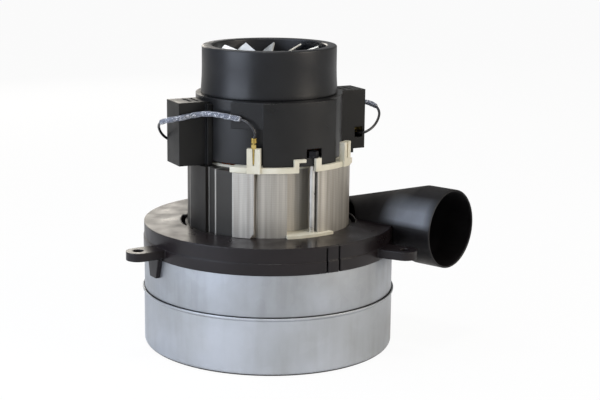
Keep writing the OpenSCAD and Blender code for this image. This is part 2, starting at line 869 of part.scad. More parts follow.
module mains_terminals() {
    color("#c9a545") both_sides() at_az(post_az[1]) terminal_blade(z_stack_top + post_h - 1.2);
}

// Long screw with a slotted hexagon head, from the bracket's ear down into the fan-end bracket
module through_screws() {
    seat = z_bracket + ear_h;
    color("#9ea2a5") both_sides() at_az(pole_az) translate([screw_a, screw_b, 0]) difference() {
        union() {
            disc(screw_r, lower_bearing_z + 2, seat + 0.5, $fn = 48);
            disc(screw_head_r, seat, seat + 0.9, $fn = 48);
            translate([0, 0, seat + 0.5])
                cylinder(r = screw_head_r * 0.92, h = screw_head_h - 0.5, $fn = 6);
        }
        block([-0.5, -4, seat + screw_head_h - 1.2], [0.5, 4, seat + screw_head_h + 1]);
    }
}

// Rotor

module shaft() {
    color("#9fa3a6") union() {
        disc(shaft_thin_r, shaft_bottom_z, lower_bearing_z + 1);
        disc(shaft_r, lower_bearing_z, z_upper_bearing);
        disc(shaft_collar_r, hub_top_z, hub_top_z + shaft_collar_h);
        disc(shaft_thin_r, z_upper_bearing - 1, fan_hub_z + fan_hub_h + fan_nut_h - 1);
    }
}

module armature_slots(r_in, w, z0, z1) {
    for (i = [0:slot_count - 1]) rotate([0, 0, 360 / slot_count * i])
        block([r_in, -w / 2, z0], [armature_r + 1, w / 2, z1]);
}

module armature_core() {
    color("#8e8c88") difference() {
        tube(armature_r, shaft_r, core_z, core_z + core_h);
        armature_slots(slot_floor_r, slot_w, core_z - eps, core_z + core_h + eps);
    }
}

module armature_end_discs() {
    color("#9b3c2a") for (z = [core_z - end_disc_t, core_z + core_h]) difference() {
        tube(armature_r - 1, shaft_r, z, z + end_disc_t);
        armature_slots(slot_floor_r, slot_w, z - eps, z + end_disc_t + eps);
    }
}

module armature_winding() {
    low = core_z - end_disc_t;
    high = core_z + core_h + end_disc_t;
    round_by = 1.6;
    color("#a4552c") union() {
        intersection() {
            armature_slots(slot_floor_r + 0.1, slot_w - 0.2, low - 1, high + 1);
            disc(armature_r - 1.2, low - 1, high + 1);
        }
        rotate_extrude() polygon([[7, low], [21, low], [21, end_turn_low_z + round_by],
            [21 - round_by, end_turn_low_z], [8.6, end_turn_low_z], [7, end_turn_low_z + round_by]]);
        rotate_extrude() polygon([[7, high], [21.5, high], [21.5, end_turn_top_z - 3],
            [18.5, end_turn_top_z], [9, end_turn_top_z], [7, end_turn_top_z - 2]]);
    }
}

module commutator_hub() {
    color("#3a2f28") tube(bar_r_in, shaft_r, commutator_z - 1, commutator_top_z);
}

module commutator_bars() {
    color("#b8703c") difference() {
        union() {
            tube(commutator_r, bar_r_in, commutator_z, commutator_top_z);
            tube(commutator_r + 2, bar_r_in, commutator_z, commutator_z + riser_h);
        }
        for (i = [0:bar_count - 1]) rotate([0, 0, 360 / bar_count * i])
            block([bar_r_in - 1, -bar_gap / 2, commutator_z - eps],
                [commutator_r + 3, bar_gap / 2, commutator_top_z + eps]);
    }
}

// Brush gear, drawn with local +X along the left brush axis

module at_brush(side) {
    at_az(brush_az + 90 + 90 * side) children();
}

// Directions between which a wide wall of the bracket stands, and the height of the niche beside it
wide_wall_az = [-4, 51.5];
niche_top_z = z_bracket + 20.5;
side_panel_r = 45.5;

// Round core of the bracket with its two wide walls, each hollow behind
module bracket_walls(z0, z1, plate_t) {
    difference() {
        union() {
            tube(bracket_r, bracket_bore_r, z0, z1);
            both_sides()
                tube_sector(bracket_wall_r, bracket_bore_r, z0, z1, wide_wall_az[0], wide_wall_az[1]);
        }
        both_sides() tube_sector(bracket_wall_r - 3, bracket_bore_r - 2, z0 - eps, z1 - plate_t,
            wide_wall_az[0] + 3.6, wide_wall_az[1] - 3.6);
    }
}

// Flat panel between a wide wall and a brush housing, above the niche for the terminal post
module side_panel(z0, z1) {
    intersection() {
        at_az(-15) block([bracket_r - 3, -12, z0], [side_panel_r, 12, z1]);
        wedge(-26.5, wide_wall_az[0] + 2, 60, z0 - 1, z1 + 1);
    }
}

module brush_end_bracket() {
    z0 = z_bracket;
    z1 = z_collar;
    plate_t = 3;
    color("#37373a") difference() {
        union() {
            bracket_walls(z0, z1, plate_t);
            tube(bracket_bore_r + 1, upper_hub_r - 1, z1 - plate_t, z1);
            tube(upper_hub_r, shaft_thin_r + 1, z_upper_bearing, z1);
            both_sides() side_panel(niche_top_z, z1);
            both_sides() intersection() {
                at_az(pole_az)
                    block([bracket_bore_r, screw_b - 5, z0 + 0.4], [60, screw_b + 5, z0 + ear_h]);
                disc(bracket_wall_r - 0.2, z0, z1);
            }
        }
        disc(upper_bearing_r + press_gap, z_upper_bearing - eps, z_collar - ceiling_t);
        for (i = [0:5]) tube_sector(bracket_bore_r - 7, upper_hub_r + 3, z1 - plate_t - eps, z1 + eps,
            60 * i + 12, 60 * i + 48);
        both_sides() {
            at_az(brush_az) block([10, -tube_half_w - 0.3, brush_z - tube_half_h - 0.3],
                [50, tube_half_w + 0.3, brush_z + tube_half_h + 0.3]);
            at_az(pole_az) translate([screw_a, screw_b, z0 - eps])
                cylinder(r = screw_r + slide_gap, h = ear_h + 2);
            at_az(pole_az) block([38, screw_b - 4.8, z0 + ear_h], [60, screw_b + 4.8, z0 + 9.2]);
        }
    }
}

housing_root = 43;
housing_h = 34.0;
lead_window = [50.7, 55.5];

// Box round a brush tube, with its shoulder against the bracket. The outer end stops at foot
// below the underside of the bracket.
module brush_housing(reach, drop, foot) {
    half = housing_w / 2;
    low = z_bracket - 2.4;
    top = z_bracket + housing_h - drop;
    cavity_w = tube_half_w + slide_gap / 2;
    cavity_h = tube_half_h + slide_gap / 2;
    end = tube_end + slide_gap;
    color("#313133") difference() {
        union() {
            block([bracket_r - 5, -half, low], [reach, half, top]);
            block([bracket_r - 5, half - 1, low], [housing_root, half + 3, top - 1]);
        }
        disc(bracket_r, low - 1, top + 1);
        block([50, -half - 1, low - 1], [reach + 1, half + 1, z_bracket - foot]);
        block([30, -cavity_w, brush_z - cavity_h], [end, cavity_w, brush_z + cavity_h]);
        block([47, -5.5, z_bracket + 3], [end, 5.5, brush_z]);
        block([lead_window[0], -half - 1, z_bracket + 6.4], [lead_window[1], 0, z_bracket + 12.4]);
        block([44.5, -half + 2.5, top - 1.6], [46.2, half - 4, top + 1]);
        block([49, -half + 2.5, top - 1.6], [50.7, half - 4, top + 1]);
    }
}

module brush_housing_left() {
    at_brush(-1) brush_housing(left_reach, left_drop, 2.3);
}

module brush_housing_right() {
    at_brush(1) brush_housing(right_reach, 0, 0.1);
}

module brush_tube() {
    w = tube_half_w;
    h = tube_half_h;
    color("#c2a24a") difference() {
        union() {
            block([tube_start, -w, brush_z - h], [tube_end, w, brush_z + h]);
            block([51.2, -0.4, z_bracket + 6.4], [54.6, 0.4, brush_z - h + 0.3]);
        }
        block([tube_start - 1, -w + tube_t, brush_z - h + tube_t],
            [tube_end - tube_cap_t, w - tube_t, brush_z + h - tube_t]);
    }
}

module brush_tube_left() {
    at_brush(-1) brush_tube();
}

module brush_tube_right() {
    at_brush(1) brush_tube();
}

module carbon_brush() {
    color("#2b2b2d") difference() {
        block([commutator_r - 3, -brush_w / 2, brush_z - brush_h / 2],
            [brush_end, brush_w / 2, brush_z + brush_h / 2]);
        disc(brush_start, brush_z - brush_h, brush_z + brush_h);
    }
}

module carbon_brush_left() {
    at_brush(-1) carbon_brush();
}

module carbon_brush_right() {
    at_brush(1) carbon_brush();
}

// Tubes along a route: a ring of points about each route point, carried without twist
function unit(v) = v / norm(v);
function tangent(p, i) = unit(p[min(i + 1, len(p) - 1)] - p[max(i - 1, 0)]);
function side_list(p, i, last) = i == len(p) ? [] : let (t = tangent(p, i), s = unit(last - (last * t) * t))
    concat([s], side_list(p, i + 1, s));
function ring_at(p, i, s, r, sides) = let (t = tangent(p, i), u = cross(t, s))
    [for (k = [0:sides - 1]) let (a = 360 * k / sides) p[i] + r * (cos(a) * s + sin(a) * u)];
function tube_rings(p, r, sides, start) = let (s = side_list(p, 0, start))
    [for (i = [0:len(p) - 1]) each ring_at(p, i, s[i], r, sides)];
function skin(rings, sides, base, inward) = [for (i = [0:rings - 2]) for (k = [0:sides - 1])
    let (a = base + i * sides + k, b = base + i * sides + (k + 1) % sides, c = b + sides, d = a + sides)
    each inward ? [[a, b, c], [a, c, d]] : [[a, c, b], [a, d, c]]];
function cap(sides, base, back) = [back ? [for (k = [0:sides - 1]) base + k]
    : [for (k = [sides - 1:-1:0]) base + k]];

// Solid tube along points p
module solid_tube(p, r, sides, start) {
    n = len(p);
    polyhedron(tube_rings(p, r, sides, start),
        concat(skin(n, sides, 0, false), cap(sides, 0, true), cap(sides, (n - 1) * sides, false)));
}

// Hollow tube along points p, open at both ends
module hollow_tube(p, r_out, r_in, sides, start) {
    n = len(p);
    far = n * sides;
    end = (n - 1) * sides;
    rim = [for (k = [0:sides - 1]) let (m = (k + 1) % sides) each [
        [k, m, far + m], [k, far + m, far + k],
        [end + k, far + end + m, end + m], [end + k, far + end + k, far + end + m]]];
    polyhedron(concat(tube_rings(p, r_out, sides, start), tube_rings(p, r_in, sides, start)),
        concat(skin(n, sides, 0, false), skin(n, sides, far, true), rim));
}

// Smooth curve through hand-chosen points
function spline_at(a, b, c, d, t) = 0.5 * ((2 * b) + (c - a) * t + (2 * a - 5 * b + 4 * c - d) * t * t
    + (3 * b - a - 3 * c + d) * t * t * t);
function spline(p, steps) = [for (i = [0:len(p) - 2]) for (j = [0:steps - 1])
    spline_at(p[max(i - 1, 0)], p[i], p[i + 1], p[min(i + 2, len(p) - 1)], j / steps)];

// Brush spring: a helix between the brush and the end of the tube
spring_wire_r = 0.4;
spring_r = 2.5;
spring_from = brush_end + slide_gap + spring_wire_r;
spring_to = tube_end - tube_cap_t - slide_gap - spring_wire_r;
function helix_point(t) = [spring_from + (spring_to - spring_from) * t,
    spring_r * cos(360 * spring_curls * t), brush_z + spring_r * sin(360 * spring_curls * t)];

module brush_spring() {
    steps = 8 * spring_curls;
    color("#b5b8ba") solid_tube([for (i = [0:steps]) helix_point(i / steps)], spring_wire_r, 6, [0, 1, 0]);
}

module brush_spring_left() {
    at_brush(-1) brush_spring();
}

module brush_spring_right() {
    at_brush(1) brush_spring();
}

// Route of a brush lead: from the crimp on its pin, over the side of the housing, round its end
// and back into the window. Heights are above the underside of the bracket.
pin_local = [terminal_r * cos(post_az[0] - brush_az), terminal_r * sin(post_az[0] - brush_az)];
lead_points = [
    [pin_local[0], pin_local[1], 16.0], [27.6, 40.6, 18.6], [28.4, 39.9, 21.4], [30.2, 38.1, 24.2],
    [33.2, 34.6, 26.0], [37.8, 29.9, 26.9], [40.4, 23.6, 27.2], [43.0, 18.0, 27.2], [46.4, 13.6, 26.8],
    [51.0, 11.3, 26.0], [56.4, 11.0, 25.2], [61.6, 9.7, 24.4], [65.4, 6.0, 23.3], [66.9, 1.0, 21.6],
    [66.2, -4.2, 18.8], [63.6, -8.4, 15.2], [60.2, -11.0, 11.9], [56.8, -11.5, 9.7],
    [54.2, -9.8, 8.8], [53.2, -7.0, 8.6], [53.0, -3.6, 8.6], [53.0, -0.55, 8.6]
];
lead_steps = 3;
sleeve_first = 4;
sleeve_last = 13;

// The loop beyond the housing hangs out further on one side than on the other
loop_from = 57;
function stretched(p, k) = [for (q = p) [q[0] > loop_from ? loop_from + (q[0] - loop_from) * k : q[0],
    q[1], q[2] + z_bracket]];
function lead_path(k) = let (p = stretched(lead_points, k)) concat(spline(p, lead_steps), [p[len(p) - 1]]);
function sleeve_path(k) = let (p = lead_path(k))
    [for (i = [sleeve_first * lead_steps:sleeve_last * lead_steps]) p[i]];

module lead_wire(k) {
    color("#1d1d1f") solid_tube(lead_path(k), lead_r, 8, [1, 0, 0]);
}

module lead_sleeve(k) {
    color("#5a5d68") hollow_tube(sleeve_path(k), sleeve_r, lead_r + 0.35, 8, [1, 0, 0]);
}

module lead_wire_left() {
    at_brush(-1) lead_wire(0.9);
}

module lead_wire_right() {
    at_brush(1) lead_wire(1.35);
}

module lead_sleeve_left() {
    at_brush(-1) lead_sleeve(0.9);
}

module lead_sleeve_right() {
    at_brush(1) lead_sleeve(1.35);
}

// Collar and cooling fan

module cooling_air_collar() {
    flare_h = 10;
    edge = 0.6;
    foot = collar_r + collar_flare;
    color("#39393d") rotate_extrude() polygon([
        [collar_bore_r, z_collar], [foot, z_collar], [foot, z_collar + 2],
        [collar_r, z_collar + flare_h], [collar_r, z_top - edge], [collar_r - edge, z_top],
        [collar_bore_r + edge, z_top], [collar_bore_r, z_top - edge]
    ]);
}

// One pitched blade: a plate whose leading edge falls towards the hub
module fan_blade() {
    chord = 15;
    root_chord = 7;
    fall = 16;
    translate([blade_r, 0, blade_tip_z])
        rotate([0, -fall, 0]) rotate([-blade_pitch, 0, 0]) mirror([1, 0, 0])
        translate([0, 0, -blade_t]) linear_extrude(blade_t)
            polygon([[0.8, 0.3], [blade_r - fan_hub_r + 2, 0.3],
                [blade_r - fan_hub_r + 2, root_chord], [0.8, chord]]);
}

module cooling_fan() {
    color("#d5d6d4") difference() {
        union() {
            disc(fan_hub_r, fan_hub_z, fan_hub_z + fan_hub_h);
            intersection() {
                for (i = [0:blade_count - 1]) at_az(174 + 360 / blade_count * i) fan_blade();
                tube(blade_r, fan_hub_r - 2, z_collar + 2, z_top);
            }
            disc(7, z_collar + 1, fan_hub_z + 1);
        }
        disc(shaft_thin_r, z_collar - eps, z_top);
        tube(fan_hub_r - 2.5, 7, fan_hub_z + fan_hub_h - 5, fan_hub_z + fan_hub_h + eps);
    }
}

module cooling_fan_nut() {
    z = fan_hub_z + fan_hub_h;
    color("#b8bbbe") difference() {
        union() {
            translate([0, 0, z]) cylinder(r = 6.6, h = fan_nut_h - 1.5, $fn = 6);
            disc(6.9, z, z + 0.8);
        }
        disc(shaft_thin_r, z - eps, z + fan_nut_h + eps);
    }
}

lower_fan_shell();
upper_fan_shell();
return_vane_disc();
fan_end_bracket();
discharge_horn();
stage_one_front_plate();
stage_one_vanes();
stage_one_back_plate();
stage_two_front_plate();
stage_two_vanes();
stage_two_back_plate();
fan_spacer();
hub_spacer();
clamp_washers();
impeller_nut();
lower_bearing_outer_race();
lower_bearing_inner_race();
lower_bearing_balls();
lower_bearing_cage();
bearing_retainer();
retainer_screws();
field_core();
field_coil_front();
field_coil_rear();
lower_coil_former();
upper_coil_former();
terminal_pins();
mains_terminals();
through_screws();
shaft();
armature_core();
armature_end_discs();
armature_winding();
commutator_hub();
commutator_bars();
brush_end_bracket();
brush_housing_left();
brush_housing_right();
brush_tube_left();
brush_tube_right();
carbon_brush_left();
carbon_brush_right();
brush_spring_left();
brush_spring_right();
lead_wire_left();
lead_wire_right();
lead_sleeve_left();
lead_sleeve_right();
upper_bearing_outer_race();
upper_bearing_inner_race();
upper_bearing_balls();
upper_bearing_cage();
bearing_wave_washer();
cooling_air_collar();
cooling_fan();
cooling_fan_nut();
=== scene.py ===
"""Looks of a two-stage vacuum motor unit: finishes, smooth skins, leads, floor, light and camera.

Lengths are millimetres until they reach a mesh, where MM turns them to metres. The origin is on the
shaft axis at the flat bottom of the fan case, with +Z up. An angle called az is measured round the
shaft from the front (-Y) and grows towards +X.
"""

import logging
import math
from dataclasses import dataclass
from enum import Enum
from itertools import accumulate

import bmesh
import bpy
import numpy as np
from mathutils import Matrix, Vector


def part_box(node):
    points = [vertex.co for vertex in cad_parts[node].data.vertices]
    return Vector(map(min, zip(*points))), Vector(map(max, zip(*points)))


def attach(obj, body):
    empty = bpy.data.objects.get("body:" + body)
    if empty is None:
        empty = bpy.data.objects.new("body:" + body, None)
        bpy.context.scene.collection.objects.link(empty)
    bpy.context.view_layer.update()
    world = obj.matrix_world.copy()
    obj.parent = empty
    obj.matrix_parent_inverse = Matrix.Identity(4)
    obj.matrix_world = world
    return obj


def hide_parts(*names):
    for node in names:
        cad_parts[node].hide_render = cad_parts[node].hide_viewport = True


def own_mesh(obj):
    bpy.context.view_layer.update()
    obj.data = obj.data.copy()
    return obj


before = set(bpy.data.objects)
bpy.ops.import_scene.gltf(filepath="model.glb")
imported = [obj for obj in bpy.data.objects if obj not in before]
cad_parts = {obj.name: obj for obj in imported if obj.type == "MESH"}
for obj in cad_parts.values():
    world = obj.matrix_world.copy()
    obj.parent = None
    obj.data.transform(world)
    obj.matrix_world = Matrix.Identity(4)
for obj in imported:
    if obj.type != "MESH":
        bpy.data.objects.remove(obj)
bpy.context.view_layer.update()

MM = 0.001
UV_NAME = "surface"
WHITE = "#ffffff"
log = logging.getLogger("vacuum_motor")

Socket = bpy.types.NodeSocket
Tree = bpy.types.NodeTree
Triple = tuple[float, float, float]


class Body(Enum):
    """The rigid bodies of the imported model."""

    MOTOR = "motor_frame"
    ROTOR = "rotor"


class Side(Enum):
    """The two sides of the brush gear: the direction az of each, and how far its lead hangs out."""

    LEFT = (-64.7, 0.9)
    RIGHT = (115.3, 1.35)

    @property
    def az(self) -> float:
        """Direction of the brush axis."""
        return self.value[0]

    @property
    def reach(self) -> float:
        """Factor on the part of the lead's loop beyond the housing."""
        return self.value[1]


# Colours, scales and nodes


def linear(hex_code: str) -> tuple[float, float, float, float]:
    """Turns an sRGB hex colour to the linear colour that a socket holds.

    Args:
        hex_code: six hex digits after a hash.

    Returns:
        Red, green, blue and an alpha of 1.
    """
    parts = [int(hex_code[i:i + 2], 16) / 255 for i in (1, 3, 5)]
    return (*[c / 12.92 if c <= 0.04045 else ((c + 0.055) / 1.055) ** 2.4 for c in parts], 1.0)


def spot_scale(size_mm: float) -> float:
    """Scale at which a texture's spots are about size_mm wide on coordinates in metres."""
    return 1 / (size_mm * MM)


def band_scale(spacing_mm: float) -> float:
    """Scale at which the wave texture, which goes 20 radians in a unit, has its bands spacing_mm apart."""
    return math.tau / (20 * spacing_mm * MM)


def add_node(tree: Tree, kind: str, inputs: dict | tuple = (), **settings: object) -> bpy.types.NodeOutputs:
    """Adds a node with its settings, input values and incoming links.

    Args:
        tree: the node tree.
        kind: the node's type name after "ShaderNode".
        inputs: what the inputs take, by name or number or in order: a value, a colour's hex code, or
            the socket that feeds the input.
        settings: properties of the node itself.

    Returns:
        The new node's outputs.
    """
    node = tree.nodes.new("ShaderNode" + kind)
    for key, value in settings.items():
        setattr(node, key, value)
    for key, value in inputs.items() if isinstance(inputs, dict) else enumerate(inputs):
        if isinstance(value, Socket):
            tree.links.new(value, node.inputs[key])
        else:
            node.inputs[key].default_value = linear(value) if isinstance(value, str) else value
    return node.outputs


# Finishes. Nearly all of a noise lies between 0.3 and 0.7, so its shares are mapped from within those.


@dataclass(frozen=True)
class Finish:
    """A finish with soft patches of a second colour, fine grain and slightly rounded edges.

    Attributes:
        name: what the surface is and how it was made.
        colour: main colour, sRGB.
        shade: colour of the patches, sRGB.
        roughness: mean roughness.
        metallic: 1 for a bare metal.
        patch_mm: size of the colour's patches.
        gloss_patch: size of the roughness patches against the colour's.
        grain_mm: size of the grain, drawn coarser than the real 0.1 mm or less, which is too fine to show.
        grain_depth_mm: height of the grain.
        edge_mm: radius that rounds the edges in the shading.
        ior: refractive index of what isn't metal.
        shine: strength of the reflection of what isn't metal, 0.5 as the index gives it.
        spread: how far the roughness goes up and down.
        painted_shade_below_mm: height below which the colour is darkened as painted shade, less than 0 for
            nowhere.
        painted_shade_edge_mm: half the height over which the painted shade fades.
        painted_shade: colour of the painted shade, sRGB.
    """

    name: str
    colour: str
    shade: str
    roughness: float
    metallic: float = 0.0
    patch_mm: float = 18.0
    gloss_patch: float = 0.6
    grain_mm: float = 0.7
    grain_depth_mm: float = 0.012
    edge_mm: float = 0.3
    ior: float = 1.5
    shine: float = 0.5
    spread: float = 0.08
    painted_shade_below_mm: float = -1.0
    painted_shade_edge_mm: float = 0.3
    painted_shade: str = "#26231f"

    def tint(self, tree: Tree, coords: Socket) -> Socket:
        """Two colours in soft patches, darkened below a height as painted shade where the finish has any.

        Args:
            tree: the material's node tree.
            coords: the piece's own coordinates, in metres.

        Returns:
            The colour.
        """
        patches = add_node(tree, "TexNoise",
                           {"Vector": coords, "Scale": spot_scale(self.patch_mm), "Detail": 3.0})
        share = add_node(tree, "MapRange", (patches["Fac"], 0.35, 0.65, 0, 1))
        unshaded = add_node(tree, "Mix", {0: share[0], 6: self.colour, 7: self.shade}, data_type="RGBA")
        if self.painted_shade_below_mm < 0:
            return unshaded[2]
        # Painted shade: below the given height the colour turns to the shade colour.
        height = add_node(tree, "SeparateXYZ", (coords,))[2]
        low, high = ((self.painted_shade_below_mm + way * self.painted_shade_edge_mm) * MM for way in (-1, 1))
        dust_and_shade = add_node(tree, "MapRange", (height, low, high, 1, 0))
        return add_node(tree, "Mix", {0: dust_and_shade[0], 6: unshaded[2], 7: self.painted_shade}, data_type="RGBA")[2]

    def gloss(self, tree: Tree, coords: Socket) -> Socket:
        """Roughness in patches of its own, between its mean less and more the spread.

        Args:
            tree: the material's node tree.
            coords: the piece's own coordinates, in metres.

        Returns:
            The roughness.
        """
        scale = spot_scale(self.patch_mm * self.gloss_patch)
        patches = add_node(tree, "TexNoise", {"Vector": coords, "Scale": scale, "Detail": 4.0})["Fac"]
        least, most = self.roughness - self.spread, self.roughness + self.spread
        return add_node(tree, "MapRange", (patches, 0.3, 0.7, least, most))[0]

    def relief(self, tree: Tree, coords: Socket) -> Socket:
        """Height of the surface, 0 to 1."""
        return add_node(tree, "TexNoise",
                        {"Vector": coords, "Scale": spot_scale(self.grain_mm), "Detail": 2.0})["Fac"]

    def material(self) -> bpy.types.Material:
        """Builds the material.

        Returns:
            The material, ready for a piece's slot.
        """
        made = bpy.data.materials.new(self.name)
        made.use_nodes = True
        tree = made.node_tree
        tree.nodes.clear()
        coords = add_node(tree, "TexCoord")["Object"]
        soft_edge = add_node(tree, "Bevel", {"Radius": self.edge_mm * MM}, samples=4)
        bump = add_node(tree, "Bump", {"Distance": self.grain_depth_mm * MM, "Strength": 1.0,
                                       "Height": self.relief(tree, coords), "Normal": soft_edge[0]})
        surface = add_node(tree, "BsdfPrincipled", {
            "Metallic": self.metallic, "IOR": self.ior, "Specular IOR Level": self.shine,
            "Base Color": self.tint(tree, coords), "Roughness": self.gloss(tree, coords), "Normal": bump[0]})
        add_node(tree, "OutputMaterial", (surface[0],))
        made.diffuse_color = linear(self.colour)
        return made


@dataclass(frozen=True)
class SheenPaintedPlastic(Finish):
    """Plastic with a bluish sheen painted on one flank, soft at its upper and far edges, and dusty elsewhere.

    The painted sheen lies in a band of heights and of distances along a level direction.

    Attributes:
        painted_sheen: colour of the painted sheen, a painted highlight, sRGB.
        az: the level direction.
        along_mm: where the painted sheen begins, is full, is full still and ends along it.
        height_mm: the same for its height.
        across_mm: where it begins to fade and ends across the direction.
        cloud_mm: size of its clouds.
        root_mm: distances along the direction between which dust stops dulling the root.
        root_dust: what dust adds to the roughness at the root.
        crown_mm: heights between which dust begins to dull the crown.
        crown_dust: what dust adds to the roughness on the crown.
    """

    painted_sheen: str = "#7b8088"
    az: float = 49.3
    along_mm: tuple[float, float, float, float] = (54.0, 66.0, 84.0, 90.0)
    height_mm: tuple[float, float, float, float] = (71.6, 75.0, 80.5, 88.5)
    across_mm: tuple[float, float] = (44.0, 50.0)
    cloud_mm: float = 12.0
    root_mm: tuple[float, float] = (48.0, 68.0)
    root_dust: float = 0.45
    crown_mm: tuple[float, float] = (80.0, 88.0)
    crown_dust: float = 0.3

    def place(self, tree: Tree, coords: Socket) -> list[Socket]:
        """Where a point lies from the shaft's foot, as the products of its place and three directions.

        Args:
            tree: the material's node tree.
            coords: the piece's own coordinates, in metres.

        Returns:
            Its distance along the level direction, across it, and its height, in metres.
        """
        a = math.radians(self.az)
        axes = ((math.sin(a), -math.cos(a), 0.0), (math.cos(a), math.sin(a), 0.0), (0.0, 0.0, 1.0))
        return [add_node(tree, "VectorMath", (coords, axis), operation="DOT_PRODUCT")["Value"]
                for axis in axes]

    def gloss(self, tree: Tree, coords: Socket) -> Socket:
        """The plastic's roughness, raised by dust at the root and on the crown.

        Args:
            tree: the material's node tree.
            coords: the piece's own coordinates, in metres.

        Returns:
            The roughness.
        """
        along, _, height = self.place(tree, coords)
        (root_low, root_high), (crown_low, crown_high) = self.root_mm, self.crown_mm
        root = add_node(tree, "MapRange", (along, root_low * MM, root_high * MM, self.root_dust, 0))
        crown = add_node(tree, "MapRange", (height, crown_low * MM, crown_high * MM, 0, self.crown_dust))
        dust_and_shade = add_node(tree, "Math", (root[0], crown[0]), operation="MAXIMUM")
        return add_node(tree, "Math", (super().gloss(tree, coords), dust_and_shade[0]), operation="ADD")[0]

    def tint(self, tree: Tree, coords: Socket) -> Socket:
        """The plastic's patches under the cloudy painted sheen, whose share is the product of its fades.

        Args:
            tree: the material's node tree.
            coords: the piece's own coordinates, in metres.

        Returns:
            The colour.
        """
        along, across, height = self.place(tree, coords)
        clouds = add_node(tree, "TexNoise",
                          {"Vector": coords, "Scale": spot_scale(self.cloud_mm), "Detail": 4.0})
        share = add_node(tree, "MapRange", (clouds["Fac"], 0.3, 0.7, 0.75, 1.0))
        for distance, (low, high), ends in (
                (along, self.along_mm[:2], (0, 1)), (along, self.along_mm[2:], (1, 0)),
                (height, self.height_mm[:2], (0, 1)), (height, self.height_mm[2:], (1, 0)),
                (across, self.across_mm, (1, 0))):
            fade = add_node(tree, "MapRange", (distance, low * MM, high * MM, *ends))
            share = add_node(tree, "Math", (share[0], fade[0]), operation="MULTIPLY")
        plain = super().tint(tree, coords)
        # Painted sheen: the flank's colour turns bluish here, standing in for a highlight.
        return add_node(tree, "Mix", {0: share[0], 6: plain, 7: self.painted_sheen}, data_type="RGBA")[2]


@dataclass(frozen=True)
class GalvanisedSheet(Finish):
    """Zinc-plated drawn sheet: a faint spangle, rubbed smudges and upright drawing marks.

    Attributes:
        spangle_mm: size of the zinc's crystals.
        crystal: colour of the brightest crystals, sRGB.
        smudge_mm: width of the rubbed marks, which are eight times as tall.
        rubbed_mm: size of the places that are rubbed more.
        smudge: colour of the rubbed marks, sRGB.
        drawn_mm: width of the drawing marks.
        skin_mm: size of the zinc's orange skin.
    """

    spangle_mm: float = 5.0
    crystal: str = "#dfe3e8"
    smudge_mm: float = 5.0
    rubbed_mm: float = 34.0
    smudge: str = "#8f8d8b"
    drawn_mm: float = 1.6
    skin_mm: float = 2.4

    def tint(self, tree: Tree, coords: Socket) -> Socket:
        """Cool and warm patches with darker smudges that run upright.

        Args:
            tree: the material's node tree.
            coords: the piece's own coordinates, in metres.

        Returns:
            The colour.
        """
        crystals = add_node(tree, "TexVoronoi", {"Vector": coords, "Scale": spot_scale(self.spangle_mm)})
        grey = add_node(tree, "RGBToBW", (crystals["Color"],))
        faint = add_node(tree, "MapRange", (grey[0], 0, 1, 0, 0.06))
        plain = super().tint(tree, coords)
        speckled = add_node(tree, "Mix", {0: faint[0], 6: plain, 7: self.crystal}, data_type="RGBA")
        upright = add_node(tree, "Mapping", {"Vector": coords, "Scale": (1, 1, 0.12)})
        marks = add_node(tree, "TexNoise",
                         {"Vector": upright[0], "Scale": spot_scale(self.smudge_mm), "Detail": 5.0})
        places = add_node(tree, "TexNoise",
                          {"Vector": coords, "Scale": spot_scale(self.rubbed_mm), "Detail": 2.0})
        where = add_node(tree, "MapRange", (places["Fac"], 0.42, 0.62, 0.3, 1))
        wear_and_highlight = add_node(tree, "MapRange", (marks["Fac"], 0.45, 0.75, 0, 0.26))
        share = add_node(tree, "Math", (where[0], wear_and_highlight[0]), operation="MULTIPLY")
        return add_node(tree, "Mix", {0: share[0], 6: speckled[2], 7: self.smudge}, data_type="RGBA")[2]

    def relief(self, tree: Tree, coords: Socket) -> Socket:
        """Half upright drawing marks and half the orange skin of zinc.

        Args:
            tree: the material's node tree.
            coords: the piece's own coordinates, in metres.

        Returns:
            The height, 0 to 1.
        """
        upright = add_node(tree, "Mapping", {"Vector": coords, "Scale": (1, 1, 0.08)})
        drawn = add_node(tree, "TexNoise",
                         {"Vector": upright[0], "Scale": spot_scale(self.drawn_mm), "Detail": 2.0})
        skin = add_node(tree, "TexNoise",
                        {"Vector": coords, "Scale": spot_scale(self.skin_mm), "Detail": 3.0})
        halves = tuple(add_node(tree, "Math", (part["Fac"], 0.5), operation="MULTIPLY")[0]
                       for part in (drawn, skin))
        return add_node(tree, "Math", halves, operation="ADD")[0]


